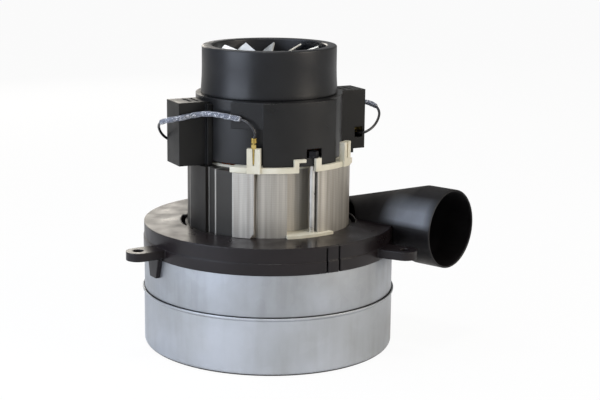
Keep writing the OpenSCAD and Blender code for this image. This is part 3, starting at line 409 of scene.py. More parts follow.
@dataclass(frozen=True)
class LaminatedSteel(Finish):
    """Edges of stacked steel sheet, ground near the poles: bright there, painted shade on the punched faces
    between.

    Attributes:
        sheet_mm: spacing of the lines; real sheets are 0.5 mm, too fine to show, so drawn coarser.
        gap: colour of the lines between the sheets, sRGB.
        streak_mm: width of the grinding marks.
        pole_az: direction of one pole, the other is opposite.
        unshaded_angle: how far from a pole the faces keep the steel's colour before the painted shade, 90 or
            more for all round.
        corners: angles from a pole at which a punched corner gets a painted highlight line.
        dark: colour of the painted shade between the poles, sRGB.
    """

    sheet_mm: float = 1.0
    gap: str = "#6b6964"
    streak_mm: float = 2.2
    pole_az: float = 29.6
    unshaded_angle: float = 55.0
    corners: tuple[float, ...] = ()
    dark: str = "#3a3835"

    def lines(self, tree: Tree, coords: Socket) -> Socket:
        """Bands along Z, one for each sheet."""
        return add_node(tree, "TexWave", bands_direction="Z", inputs={
            "Vector": coords, "Scale": band_scale(self.sheet_mm), "Distortion": 0.6})["Fac"]

    def streaks(self, tree: Tree, coords: Socket) -> Socket:
        """Upright grinding marks."""
        upright = add_node(tree, "Mapping", {"Vector": coords, "Scale": (1, 1, 0.03)})
        return add_node(tree, "TexNoise",
                        {"Vector": upright[0], "Scale": spot_scale(self.streak_mm), "Detail": 4.0})["Fac"]

    def from_pole(self, tree: Tree, coords: Socket) -> Socket:
        """Angle round the shaft from the nearest pole: az less the pole's, folded into a quarter turn.

        Args:
            tree: the material's node tree.
            coords: the piece's own coordinates, in metres.

        Returns:
            The angle, 0 to 90 degrees.
        """
        split = add_node(tree, "SeparateXYZ", (coords,))
        front = add_node(tree, "Math", (split[1], -1.0), operation="MULTIPLY")
        az = add_node(tree, "Math", (split[0], front[0]), operation="ARCTAN2")
        degrees = add_node(tree, "Math", (az[0],), operation="DEGREES")
        turned_by = add_node(tree, "Math", (degrees[0], 360 - self.pole_az), operation="ADD")
        return add_node(tree, "Math", (turned_by[0], 90.0), operation="PINGPONG")[0]

    def tint(self, tree: Tree, coords: Socket) -> Socket:
        """Streaked steel near the poles and painted shade between them, with painted corner highlights, lined
        by the sheets.

        Args:
            tree: the material's node tree.
            coords: the piece's own coordinates, in metres.

        Returns:
            The colour.
        """
        share = add_node(tree, "MapRange", (self.streaks(tree, coords), 0.3, 0.72, 0, 1))
        streaked = add_node(tree, "Mix", {0: share[0], 6: self.colour, 7: self.shade}, data_type="RGBA")
        between = add_node(tree, "MapRange", (self.lines(tree, coords), 0, 1, 0.1, 0))
        lined = add_node(tree, "Mix", {0: between[0], 6: streaked[2], 7: self.gap}, data_type="RGBA")
        angle = self.from_pole(tree, coords)
        # Painted shade: past the unshaded angle the steel's colour turns dark.
        bright = add_node(tree, "MapRange", (angle, self.unshaded_angle - 0.2, self.unshaded_angle + 0.2, 1, 0))
        # Painted highlights: thin bright lines at the given corners.
        for corner in self.corners:
            apart = add_node(tree, "Math", (angle, corner), operation="SUBTRACT")
            off = add_node(tree, "Math", (apart[0],), operation="ABSOLUTE")
            wear_and_highlight = add_node(tree, "MapRange", (off[0], 0.35, 0.75, 0.85, 0))
            bright = add_node(tree, "Math", (bright[0], wear_and_highlight[0]), operation="MAXIMUM")
        return add_node(tree, "Mix", {0: bright[0], 6: self.dark, 7: lined[2]}, data_type="RGBA")[2]

    def relief(self, tree: Tree, coords: Socket) -> Socket:
        """The sheets' edges, 0.3 of them and 0.7 of the grinding marks.

        Args:
            tree: the material's node tree.
            coords: the piece's own coordinates, in metres.

        Returns:
            The height, 0 to 1.
        """
        edges = add_node(tree, "Math", (self.lines(tree, coords), 0.3), operation="MULTIPLY")
        marks = add_node(tree, "Math", (self.streaks(tree, coords), 0.7), operation="MULTIPLY")
        return add_node(tree, "Math", (edges[0], marks[0]), operation="ADD")[0]


@dataclass(frozen=True)
class TurnedMetal(Finish):
    """Turned metal: fine rings of the tool round the shaft, blackened above a height if one is given.

    Attributes:
        feed_mm: spacing of the rings, drawn coarser than the real 0.1 mm.
        black_from_mm: height above which the metal is blackened.
        black_edge_mm: half the height over which the black fades in.
        black: colour of the blackened part, sRGB.
    """

    feed_mm: float = 0.6
    black_from_mm: float = 1000.0
    black_edge_mm: float = 0.5
    black: str = "#2b2b2e"

    def tint(self, tree: Tree, coords: Socket) -> Socket:
        """The metal's patches, and the blackened part.

        Args:
            tree: the material's node tree.
            coords: the piece's own coordinates, in metres.

        Returns:
            The colour.
        """
        height = add_node(tree, "SeparateXYZ", (coords,))[2]
        low, high = ((self.black_from_mm + way * self.black_edge_mm) * MM for way in (-1, 1))
        share = add_node(tree, "MapRange", (height, low, high, 0, 1))
        plain = super().tint(tree, coords)
        return add_node(tree, "Mix", {0: share[0], 6: plain, 7: self.black}, data_type="RGBA")[2]

    def relief(self, tree: Tree, coords: Socket) -> Socket:
        """Bands along Z."""
        return add_node(tree, "TexWave", bands_direction="Z", inputs={
            "Vector": coords, "Scale": band_scale(self.feed_mm), "Distortion": 0.4})["Fac"]


@dataclass(frozen=True)
class WovenSleeve(Finish):
    """Glass fibre braid: two sets of strands that cross, with painted glints.

    Attributes:
        strand_mm: spacing of the strands along the sleeve.
        strands: strands of one set round the sleeve.
        painted_glint_mm: size of the painted glints.
        painted_glint: colour of the painted glints on the brightest strands, sRGB.
    """

    strand_mm: float = 1.3
    strands: int = 4
    painted_glint_mm: float = 0.9
    painted_glint: str = "#eef1f6"

    def weave(self, tree: Tree) -> Socket:
        """The higher of two waves whose phases are the way along plus and less the way round.

        The piece's UV map holds u in turns and v in metres.

        Args:
            tree: the material's node tree.

        Returns:
            Height of the crossing strands, 0 to 1.
        """
        split = add_node(tree, "SeparateXYZ", (add_node(tree, "UVMap", uv_map=UV_NAME)[0],))
        along = add_node(tree, "Math", (split[1], math.tau / (self.strand_mm * MM)), operation="MULTIPLY")
        round_it = add_node(tree, "Math", (split[0], math.tau * self.strands), operation="MULTIPLY")
        waves = []
        for way in ("ADD", "SUBTRACT"):
            phase = add_node(tree, "Math", (along[0], round_it[0]), operation=way)
            waves.append(add_node(tree, "Math", (phase[0],), operation="SINE")[0])
        higher = add_node(tree, "Math", tuple(waves), operation="MAXIMUM")
        return add_node(tree, "MapRange", (higher[0], -0.6, 1, 0, 1))[0]

    def tint(self, tree: Tree, coords: Socket) -> Socket:
        """Dark between the strands, with painted glints on some.

        Args:
            tree: the material's node tree.
            coords: the piece's own coordinates, in metres.

        Returns:
            The colour.
        """
        height = self.weave(tree)
        woven = add_node(tree, "Mix", {0: height, 6: self.shade, 7: self.colour}, data_type="RGBA")
        spots = add_node(tree, "TexNoise",
                         {"Vector": coords, "Scale": spot_scale(self.painted_glint_mm), "Detail": 1.0})
        # Painted glints: bright spots painted on the raised strands.
        painted_glints = add_node(tree, "MapRange", (spots["Fac"], 0.54, 0.62, 0, 1))
        share = add_node(tree, "Math", (painted_glints[0], height), operation="MULTIPLY")
        return add_node(tree, "Mix", {0: share[0], 6: woven[2], 7: self.painted_glint}, data_type="RGBA")[2]

    def relief(self, tree: Tree, coords: Socket) -> Socket:
        """The weave."""
        return self.weave(tree)


# Filled nylon, moulded: satin black with soft cloudy patches from handling
BLACK_PLASTIC = Finish("moulded_black_nylon", "#0f0f10", "#151516", roughness=0.34, patch_mm=22,
                       grain_mm=0.9, grain_depth_mm=0.012, edge_mm=0.8, ior=1.53, shine=0.33)
# The same plastic from a more polished tool: bluish sheen
COLLAR_PLASTIC = Finish("moulded_satin_black_nylon", "#0f1012", "#15161a", roughness=0.33, patch_mm=30,
                        grain_mm=0.9, grain_depth_mm=0.01, edge_mm=0.5, ior=1.53, shine=0.33)
# Warmer black of the fan-end moulding
BRACKET_PLASTIC = Finish("moulded_brownish_black_nylon", "#110c0e", "#181214", roughness=0.34, patch_mm=20,
                         grain_mm=0.9, grain_depth_mm=0.016, edge_mm=1.1, ior=1.53, shine=0.29)
# The outlet's plastic, duller, with a bluish sheen painted on its flank as a highlight
HORN_PLASTIC = SheenPaintedPlastic("black_nylon_painted_sheen", "#0e0c0e", "#131112", roughness=0.42, patch_mm=16,
                              grain_mm=0.9, grain_depth_mm=0.016, edge_mm=0.6, ior=1.53, shine=0.25)
# Brush boxes, eroded tool: duller black
HOUSING_PLASTIC = Finish("moulded_matt_black_nylon", "#0e0e0e", "#141414", roughness=0.4, patch_mm=20,
                         grain_mm=0.9, grain_depth_mm=0.014, edge_mm=0.8, ior=1.53, shine=0.24)
# Polyester former, moulded: creamy white and a little shiny
CREAM_PLASTIC = Finish("moulded_cream_polyester", "#e0dccb", "#d4cfba", roughness=0.42, patch_mm=9,
                       grain_mm=0.8, grain_depth_mm=0.015, edge_mm=0.25, ior=1.53)
# The same former, darkened below the top of the disc as painted shade in the disc's pockets
SHADED_CREAM_PLASTIC = Finish("cream_polyester_painted_shade", "#e0dccb", "#d4cfba", roughness=0.5, patch_mm=9,
                             grain_mm=0.8, grain_depth_mm=0.015, edge_mm=0.25, ior=1.53, painted_shade_below_mm=70.8)
# The upper shell of the same sheet as the lower one, duller and more rubbed, with painted shade in a band
# just above the lip
UPPER_ZINC_SHEET = GalvanisedSheet("rubbed_galvanised_drawn_steel", "#acb0b6", "#9da0a3", roughness=0.46,
                                   metallic=0.9, patch_mm=30, grain_depth_mm=0.02, edge_mm=0.3, spread=0.07,
                                   smudge="#7d7c7b", painted_shade_below_mm=33.4)
# Hot-dip zinc on drawn steel: cool grey with rubbed smudges, and painted shade along the bottom edge where it
# stands
ZINC_SHEET = GalvanisedSheet("galvanised_drawn_steel", "#b8bcc2", "#abaeb1", roughness=0.48, metallic=1.0,
                             patch_mm=38, grain_depth_mm=0.02, edge_mm=0.3, spread=0.07, painted_shade_below_mm=1.3)
# Electrical steel sheet, punched and ground at the pole faces; the faces between the poles take painted shade
# and two corners painted highlights
STACK_STEEL = LaminatedSteel("lamination_steel_painted_shade", "#c0bcb4", "#96928b", roughness=0.5, metallic=0.7,
                             grain_depth_mm=0.012, edge_mm=0.2, spread=0.06, corners=(77.6, 68.6))
# The armature's sheets are turned all round
ROTOR_STEEL = LaminatedSteel("turned_lamination_steel", "#a19d95", "#7d7973", roughness=0.38, metallic=1.0,
                             grain_depth_mm=0.02, edge_mm=0.2, unshaded_angle=91.0)
# Free-cutting steel, turned
TURNED_STEEL = TurnedMetal("turned_steel", "#b9bbbd", "#9fa1a3", roughness=0.3, metallic=1.0,
                           patch_mm=8, grain_depth_mm=0.01, edge_mm=0.2)
# Long screws: bright shanks, blackened shiny heads
SCREW_STEEL = TurnedMetal("bright_screw_steel", "#cfceca", "#b9b8b4", roughness=0.34, metallic=1.0,
                          patch_mm=8, grain_depth_mm=0.006, edge_mm=0.25, black_from_mm=109.5)
# Bearing steel, ground and polished
BEARING_STEEL = TurnedMetal("ground_bearing_steel", "#cfd1d3", "#b9bbbd", roughness=0.16, metallic=1.0,
                            patch_mm=6, grain_depth_mm=0.004, edge_mm=0.2, feed_mm=0.4, spread=0.04)
# Aluminium sheet, pressed: bright with soft rolling marks
ALUMINIUM_SHEET = Finish("pressed_aluminium_sheet", "#dcdddd", "#c3c4c4", roughness=0.34, metallic=1.0,
                         patch_mm=9, grain_mm=0.5, grain_depth_mm=0.012, edge_mm=0.2)
# Fan metal: white tumbled aluminium that scatters light
FAN_METAL = Finish("tumbled_aluminium", "#e4e4e0", "#cfcfca", roughness=0.48, metallic=0.75,
                   patch_mm=6, grain_mm=0.6, grain_depth_mm=0.02, edge_mm=0.2)
# Brass strip, pressed
BRASS = Finish("pressed_brass", "#d9c078", "#b39a55", roughness=0.24, metallic=1.0,
               patch_mm=4, grain_mm=0.4, grain_depth_mm=0.01, edge_mm=0.15)
# Enamelled copper wire, varnished: reddish gloss
COPPER_WIRE = Finish("varnished_copper_wire", "#b5653a", "#8c4424", roughness=0.3, metallic=0.85,
                     patch_mm=5, grain_mm=0.5, grain_depth_mm=0.01, edge_mm=0.1)
# Commutator copper, turned
COPPER = TurnedMetal("turned_copper", "#c98256", "#a5623b", roughness=0.28, metallic=1.0,
                     patch_mm=5, grain_depth_mm=0.01, edge_mm=0.15)
# Vulcanised fibre board: dull red-brown
FIBRE = Finish("punched_red_fibre", "#93402e", "#7a3324", roughness=0.6, patch_mm=4,
               grain_mm=0.5, grain_depth_mm=0.03, edge_mm=0.15)
# Phenolic resin, moulded: dark brown
RESIN = Finish("moulded_phenolic_resin", "#33261f", "#291e19", roughness=0.45, patch_mm=6,
               grain_mm=0.6, grain_depth_mm=0.02, edge_mm=0.2)
# Pressed carbon: dark grey with a dull graphite shine
CARBON = Finish("pressed_graphite_carbon", "#2b2b2e", "#232325", roughness=0.5, patch_mm=3,
                grain_mm=0.4, grain_depth_mm=0.03, edge_mm=0.2)
# PVC cable insulation, extruded: glossy black
CABLE_PVC = Finish("extruded_black_pvc", "#141416", "#1b1b1e", roughness=0.3, patch_mm=6,
                   grain_mm=0.8, grain_depth_mm=0.01, edge_mm=0.1, ior=1.53)
# Woven glass sleeve: grey, shiny, with painted glints
GLASS_SLEEVE = WovenSleeve("woven_glass_fibre", "#7b808e", "#2a2c32", roughness=0.3, patch_mm=4,
                           grain_depth_mm=0.16, edge_mm=0.05)


@dataclass(frozen=True)
class Wardrobe:
    """Which finish each CAD node takes."""

    finishes: tuple[tuple[Finish, tuple[str, ...]], ...] = (
        (ZINC_SHEET, ("lower_fan_shell",)),
        (UPPER_ZINC_SHEET, ("upper_fan_shell",)),
        (BRACKET_PLASTIC, ("fan_end_bracket",)),
        (HORN_PLASTIC, ("discharge_horn",)),
        (BLACK_PLASTIC, ("brush_end_bracket",)),
        (HOUSING_PLASTIC, ("brush_housing_left", "brush_housing_right")),
        (COLLAR_PLASTIC, ("cooling_air_collar",)),
        (CREAM_PLASTIC, ("upper_coil_former",)),
        (SHADED_CREAM_PLASTIC, ("lower_coil_former",)),
        (STACK_STEEL, ("field_core",)),
        (ROTOR_STEEL, ("armature_core",)),
        (TURNED_STEEL, ("fan_spacer", "hub_spacer", "clamp_washers", "impeller_nut", "bearing_retainer",
                        "retainer_screws", "shaft", "bearing_wave_washer", "cooling_fan_nut",
                        "brush_spring_left", "brush_spring_right")),
        (SCREW_STEEL, ("through_screws",)),
        (BEARING_STEEL, ("lower_bearing_outer_race", "lower_bearing_inner_race", "lower_bearing_balls",
                         "upper_bearing_outer_race", "upper_bearing_inner_race", "upper_bearing_balls")),
        (ALUMINIUM_SHEET, ("return_vane_disc", "stage_one_front_plate", "stage_one_vanes",
                           "stage_one_back_plate", "stage_two_front_plate", "stage_two_vanes",
                           "stage_two_back_plate")),
        (FAN_METAL, ("cooling_fan",)),
        (BRASS, ("terminal_pins", "mains_terminals", "brush_tube_left", "brush_tube_right",
                 "lower_bearing_cage", "upper_bearing_cage")),
        (COPPER_WIRE, ("field_coil_front", "field_coil_rear", "armature_winding")),
        (COPPER, ("commutator_bars",)),
        (FIBRE, ("armature_end_discs",)),
        (RESIN, ("commutator_hub",)),
        (CARBON, ("carbon_brush_left", "carbon_brush_right")),
        (CABLE_PVC, ("lead_wire_left", "lead_wire_right")),
        (GLASS_SLEEVE, ("lead_sleeve_left", "lead_sleeve_right")),
    )

    def dress(self) -> dict[Finish, bpy.types.Material]:
        """Gives every CAD node its material.

        Returns:
            Each finish's material, for the new pieces.
        """
        made = {}
        for finish, nodes in self.finishes:
            made[finish] = finish.material()
            for name in nodes:
                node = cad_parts[name]
                if not node.material_slots:
                    node.data.materials.append(made[finish])
                for holder in node.material_slots:
                    holder.material = made[finish]
                log.info("%s: %s", name, finish.name)
        return made


# Surfaces


def grid_faces(rows: int, columns: int, wrap_rows: bool) -> np.ndarray:
    """Quads of a grid of points whose last column joins the first.

    Args:
        rows: points down the grid.
        columns: points across it.
        wrap_rows: whether the last row joins the first too.

    Returns:
        One line of four point numbers for each quad.
    """
    i = np.arange(rows if wrap_rows else rows - 1)[:, None]
    j = np.arange(columns)[None, :]
    i_next, j_next = (i + 1) % rows, (j + 1) % columns
    corners = [i * columns + j, i * columns + j_next, i_next * columns + j_next, i_next * columns + j]
    return np.stack(np.broadcast_arrays(*corners), axis=-1).reshape(-1, 4)


def signed_volume(points: np.ndarray, faces: np.ndarray) -> float:
    """Volume inside closed quads: a sixth of the sum of a . (b x c) + a . (c x d).

    Args:
        points: shape (n, 3).
        faces: four point numbers for each quad a b c d.

    Returns:
        The volume, negative where the quads face inwards.
    """
    a, b, c, d = (points[faces[:, k]] for k in range(4))
    sixfold = np.einsum("ij,ij->i", a, np.cross(b, c)) + np.einsum("ij,ij->i", a, np.cross(c, d))
    return float(sixfold.sum() / 6)


@dataclass
class Skin:
    """One closed surface on a grid of points: a ring where its rows wrap, and otherwise a capped tube.

    Attributes:
        points: shape (rows, columns, 3), millimetres; the last column joins the first.
        wrap_rows: whether the last row joins the first too.
    """

    points: np.ndarray
    wrap_rows: bool = False

    def grid(self) -> np.ndarray:
        """The points, with each open end of a tube closed by a row at the mean of the end's points.

        Returns:
            Points, shape (rows, columns, 3).
        """
        if self.wrap_rows:
            return self.points
        first, last = (np.broadcast_to(row.mean(axis=0), row.shape)[None] for row in self.points[[0, -1]])
        return np.concatenate([first, self.points, last])


def build_piece(name: str, skins: list[Skin], material: bpy.types.Material, body: Body,
                uv_from: tuple[np.ndarray, np.ndarray] | None = None) -> bpy.types.Object:
    """Makes one piece from skins, smooth, with its faces outwards, and lets it ride on a body.

    Args:
        name: the piece's name.
        skins: the surfaces it consists of.
        material: its material.
        body: the body it moves with.
        uv_from: for a single skin, the turns round it and the metres along it of each grid point.

    Returns:
        The new object, at the origin with its place in its mesh.
    """
    all_points, all_faces, base = [], [], 0
    for skin in skins:
        grid = skin.grid()
        rows, columns = grid.shape[:2]
        flat = grid.reshape(-1, 3)
        faces = grid_faces(rows, columns, skin.wrap_rows)
        if signed_volume(flat, faces) < 0:
            faces = faces[:, ::-1]
        all_points.append(flat)
        all_faces.append(faces + base)
        base += len(flat)
    mesh = bpy.data.meshes.new(name)
    faces = np.concatenate(all_faces)
    mesh.from_pydata((np.concatenate(all_points) * MM).tolist(), [], faces.tolist())
    if uv_from is not None:
        layer = mesh.uv_layers.new(name=UV_NAME)
        corner = np.zeros(len(mesh.loops), np.int32)
        mesh.loops.foreach_get("vertex_index", corner)
        uv = np.stack([uv_from[0].ravel()[corner], uv_from[1].ravel()[corner]], axis=1)
        layer.data.foreach_set("uv", uv.astype(np.float32).ravel())
    merge_points(mesh)
    mesh.polygons.foreach_set("use_smooth", np.ones(len(mesh.polygons), bool))
    mesh.materials.append(material)
    piece = bpy.data.objects.new(name, mesh)
    bpy.context.scene.collection.objects.link(piece)
    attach(piece, body.value)
    log.info("%s: %d faces", name, len(mesh.polygons))
    return piece


def merge_points(mesh: bpy.types.Mesh, distance_mm: float = 0.001) -> None:
    """Merges a mesh's points that lie together, so that poles and seams close.

    Args:
        mesh: the mesh, which is changed.
        distance_mm: how near they lie.
    """
    work = bmesh.new()
    work.from_mesh(mesh)
    bmesh.ops.remove_doubles(work, verts=work.verts, dist=distance_mm * MM)
    work.to_mesh(mesh)
    work.free()


def rounded(outline: list[tuple[float, float, float]], steps: int = 6) -> np.ndarray:
    """A closed outline whose corners are arcs.

    Each corner is cut back on both sides by r / tan(half its angle), but by less than half of a side,
    and the cuts are joined by the rational quadratic curve that leans on the corner's own point with the
    weight sin(half its angle), which is the arc.

    Args:
        outline: radius, height and corner radius of each point, in order.
        steps: pieces in each corner's curve.

    Returns:
        Points, shape (n, 2).
    """
    p = np.array([o[:2] for o in outline], float)
    r = np.array([o[2] for o in outline], float)
    back, ahead = np.roll(p, 1, axis=0) - p, np.roll(p, -1, axis=0) - p
    back_len, ahead_len = np.linalg.norm(back, axis=1), np.linalg.norm(ahead, axis=1)
    u, v = back / back_len[:, None], ahead / ahead_len[:, None]
    half = np.arccos(np.clip((u * v).sum(axis=1), -1, 1)) / 2
    cut = np.minimum(r / np.tan(half), 0.49 * np.minimum(back_len, ahead_len))
    s = np.linspace(0, 1, steps + 1)[None, :, None]
    start, end = (p + u * cut[:, None])[:, None], (p + v * cut[:, None])[:, None]
    weight = np.sin(half)[:, None, None]
    top = (1 - s) ** 2 * start + 2 * weight * s * (1 - s) * p[:, None] + s ** 2 * end
    return (top / ((1 - s) ** 2 + 2 * weight * s * (1 - s) + s ** 2)).reshape(-1, 2)


def turned(profile: np.ndarray, segments: int = 256) -> Skin:
    """A closed profile carried once round the shaft: x = r sin az, y = -r cos az, z as it is.

    Args:
        profile: radius and height of each point, shape (n, 2).
        segments: steps round the shaft.

    Returns:
        The surface.
    """
    az = np.linspace(0, math.tau, segments, endpoint=False)[:, None]
    r, z = profile[:, 0][None, :], profile[:, 1][None, :]
    points = np.stack([r * np.sin(az), -r * np.cos(az), z + 0 * az], axis=-1)
    return Skin(points, wrap_rows=True)


def direction(az: float) -> tuple[np.ndarray, np.ndarray]:
    """Outward direction at az and the direction across it, both level."""
    a = math.radians(az)
    return np.array([math.sin(a), -math.cos(a), 0.0]), np.array([math.cos(a), math.sin(a), 0.0])


def catmull_rom(points: np.ndarray, steps: int) -> np.ndarray:
    """A smooth curve through points.

    Each span between b and c is 0.5 (2b + (c-a)t + (2a-5b+4c-d)t^2 + (3b-a-3c+d)t^3).

    Args:
        points: the points it passes, shape (n, 3).
        steps: samples in each span.

    Returns:
        Samples, ending at the last point.
    """
    a = np.concatenate([points[:1], points[:-2]])[:, None]
    b, c = points[:-1, None], points[1:, None]
    d = np.concatenate([points[2:], points[-1:]])[:, None]
    t = (np.arange(steps) / steps)[None, :, None]
    curve = 0.5 * (2 * b + (c - a) * t + (2 * a - 5 * b + 4 * c - d) * t ** 2
                   + (3 * b - a - 3 * c + d) * t ** 3)
    return np.concatenate([curve.reshape(-1, 3), points[-1:]])


def tube_along(path: np.ndarray, radius: np.ndarray, sides: int, closed: bool = False) -> np.ndarray:
    """Rings of points about a path, carried without twist.

    The ring at point p is p + r (cos a s + sin a (t x s)), where s is the last ring's start direction
    made square to the tangent t.

    Args:
        path: shape (n, 3).
        radius: one for each point of the path.
        sides: points in a ring.
        closed: whether the path joins up.

    Returns:
        Points, shape (n, sides, 3).
    """
    if closed:
        tangents = np.roll(path, -1, axis=0) - np.roll(path, 1, axis=0)
    else:
        tangents = np.gradient(path, axis=0)
    tangents /= np.linalg.norm(tangents, axis=1)[:, None]
    along_no_path = [0.31, 0.17, 0.93]
    seed = np.cross(tangents[0], along_no_path)

    def square(last: np.ndarray, tangent: np.ndarray) -> np.ndarray:
        """The last direction made square to the next tangent."""
        level = last - (last @ tangent) * tangent
        return level / np.linalg.norm(level)

    starts = np.array(list(accumulate(tangents, square, initial=seed))[1:])
    across = np.cross(tangents, starts)
    a = np.linspace(0, math.tau, sides, endpoint=False)[None, :, None]
    ring = np.cos(a) * starts[:, None] + np.sin(a) * across[:, None]
    return path[:, None] + radius[:, None, None] * ring


# Sub-assemblies


@dataclass
class FanCase:
    """The two drawn shells of the fan case, with their bends and the lip at the seam.

    Attributes:
        radius: outside of the lower shell.
        upper_radius: outside of the upper shell.
        sheet: thickness of the sheet.
        seam_z: height of the seam.
        ring_z: height at which the upper shell ends, in the ring.
        bend: outer radius of the bend at the bottom.
        lip_width: how far the lip stands out.
        lip_height: how far it stands up over the seam.
        groove: gap between the lip and the upper shell.
        shoulder: height under the seam from which the wall turns out to the lip.
        lip_under: height under the seam of the lip's lower edge.
        inlet_radius: bore of the inlet eye.
        neck: height of the neck round it.
        segments: steps round the shaft.
    """

    radius: float = 71.65
    upper_radius: float = 71.4
    sheet: float = 1.0
    seam_z: float = 32.0
    ring_z: float = 56.3
    bend: float = 2.5
    lip_width: float = 0.95
    lip_height: float = 0.9
    groove: float = 0.5
    shoulder: float = 1.0
    lip_under: float = 0.1
    inlet_radius: float = 25.0
    neck: float = 4.5
    segments: int = 320

    def lower_profile(self) -> np.ndarray:
        """Cup with its inlet neck turned inwards and its lip turned outwards at the seam.

        Returns:
            The outline of the sheet, whose points are given as radius, height and corner radius.
        """
        r, t, lip = self.radius, self.sheet, self.radius + self.lip_width
        lip_bore = self.upper_radius + self.groove
        top = self.seam_z + self.lip_height
        return rounded([
            (self.inlet_radius, 0, 0.5), (r, 0, self.bend), (r, self.seam_z - self.shoulder, 0.4),
            (lip, self.seam_z - self.lip_under, 0.3), (lip, top, 0.25), (lip_bore, top, 0.15),
            (lip_bore, self.seam_z, 0.05), (r - t, self.seam_z, 0.1), (r - t, t, self.bend - t),
            (self.inlet_radius + t, t, 0.2), (self.inlet_radius + t, self.neck, 0.3),
            (self.inlet_radius, self.neck, 0.3)], steps=8)

    def upper_profile(self) -> np.ndarray:
        """Cup with a floor at the seam and a straight wall up into the ring.

        Returns:
            The outline of the sheet, whose points are given as radius, height and corner radius.
        """
        r, t, z = self.upper_radius, self.sheet, self.seam_z
        return rounded([
            (self.inlet_radius, z, 0.8), (r, z, 0.15), (r, self.ring_z, 0.1), (r - t, self.ring_z, 0.1),
            (r - t, z + t, 0.5), (self.inlet_radius + t, z + t, 0.2),
            (self.inlet_radius + t, z + self.neck, 0.3), (self.inlet_radius, z + self.neck, 0.3)], steps=6)

    def build(self, lower: bpy.types.Material, upper: bpy.types.Material) -> None:
        """Replaces the two shells by smooth ones.

        Args:
            lower: the lower shell's material.
            upper: the upper shell's material.
        """
        for node, profile, material in (("lower_fan_shell", self.lower_profile(), lower),
                                        ("upper_fan_shell", self.upper_profile(), upper)):
            piece = build_piece(node + "_skin", [turned(profile, self.segments)], material, Body.MOTOR)
            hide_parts(node)


@dataclass
class CoolingCollar:
    """The round collar above the brush-end bracket, with a flared foot and a rounded rim.

    Attributes:
        radius: outside above the flare.
        bore: inside.
        flare: how far the foot stands out.
        flare_height: height above the bottom at which the flare has ended.
        foot: height of the straight foot under it.
        rim: radius of the rim's edges.
        flare_points: points down the flare.
    """

    radius: float = 37.95
    bore: float = 32.1
    flare: float = 0.7
    flare_height: float = 16.0
    foot: float = 1.5
    rim: float = 0.9
    flare_points: int = 24

    def build(self, material: bpy.types.Material) -> None:
        """Replaces the collar by a smooth one: above its foot the flare falls with (1 - s)^2.

        Args:
            material: the collar's material.
        """
        low, high = (corner.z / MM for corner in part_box("cooling_air_collar"))
        s = np.linspace(0, 1, self.flare_points)
        flare = zip(self.radius + self.flare * (1 - s) ** 2,
                    low + self.foot + (self.flare_height - self.foot) * s, 0 * s)
        profile = rounded([
            (self.bore, low, 0.1), (self.radius + self.flare, low, 0.4), *flare,
            (self.radius, high, self.rim), (self.bore, high, self.rim)], steps=8)
        piece = build_piece("cooling_air_collar_skin", [turned(profile)], material, Body.MOTOR)
        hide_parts("cooling_air_collar")


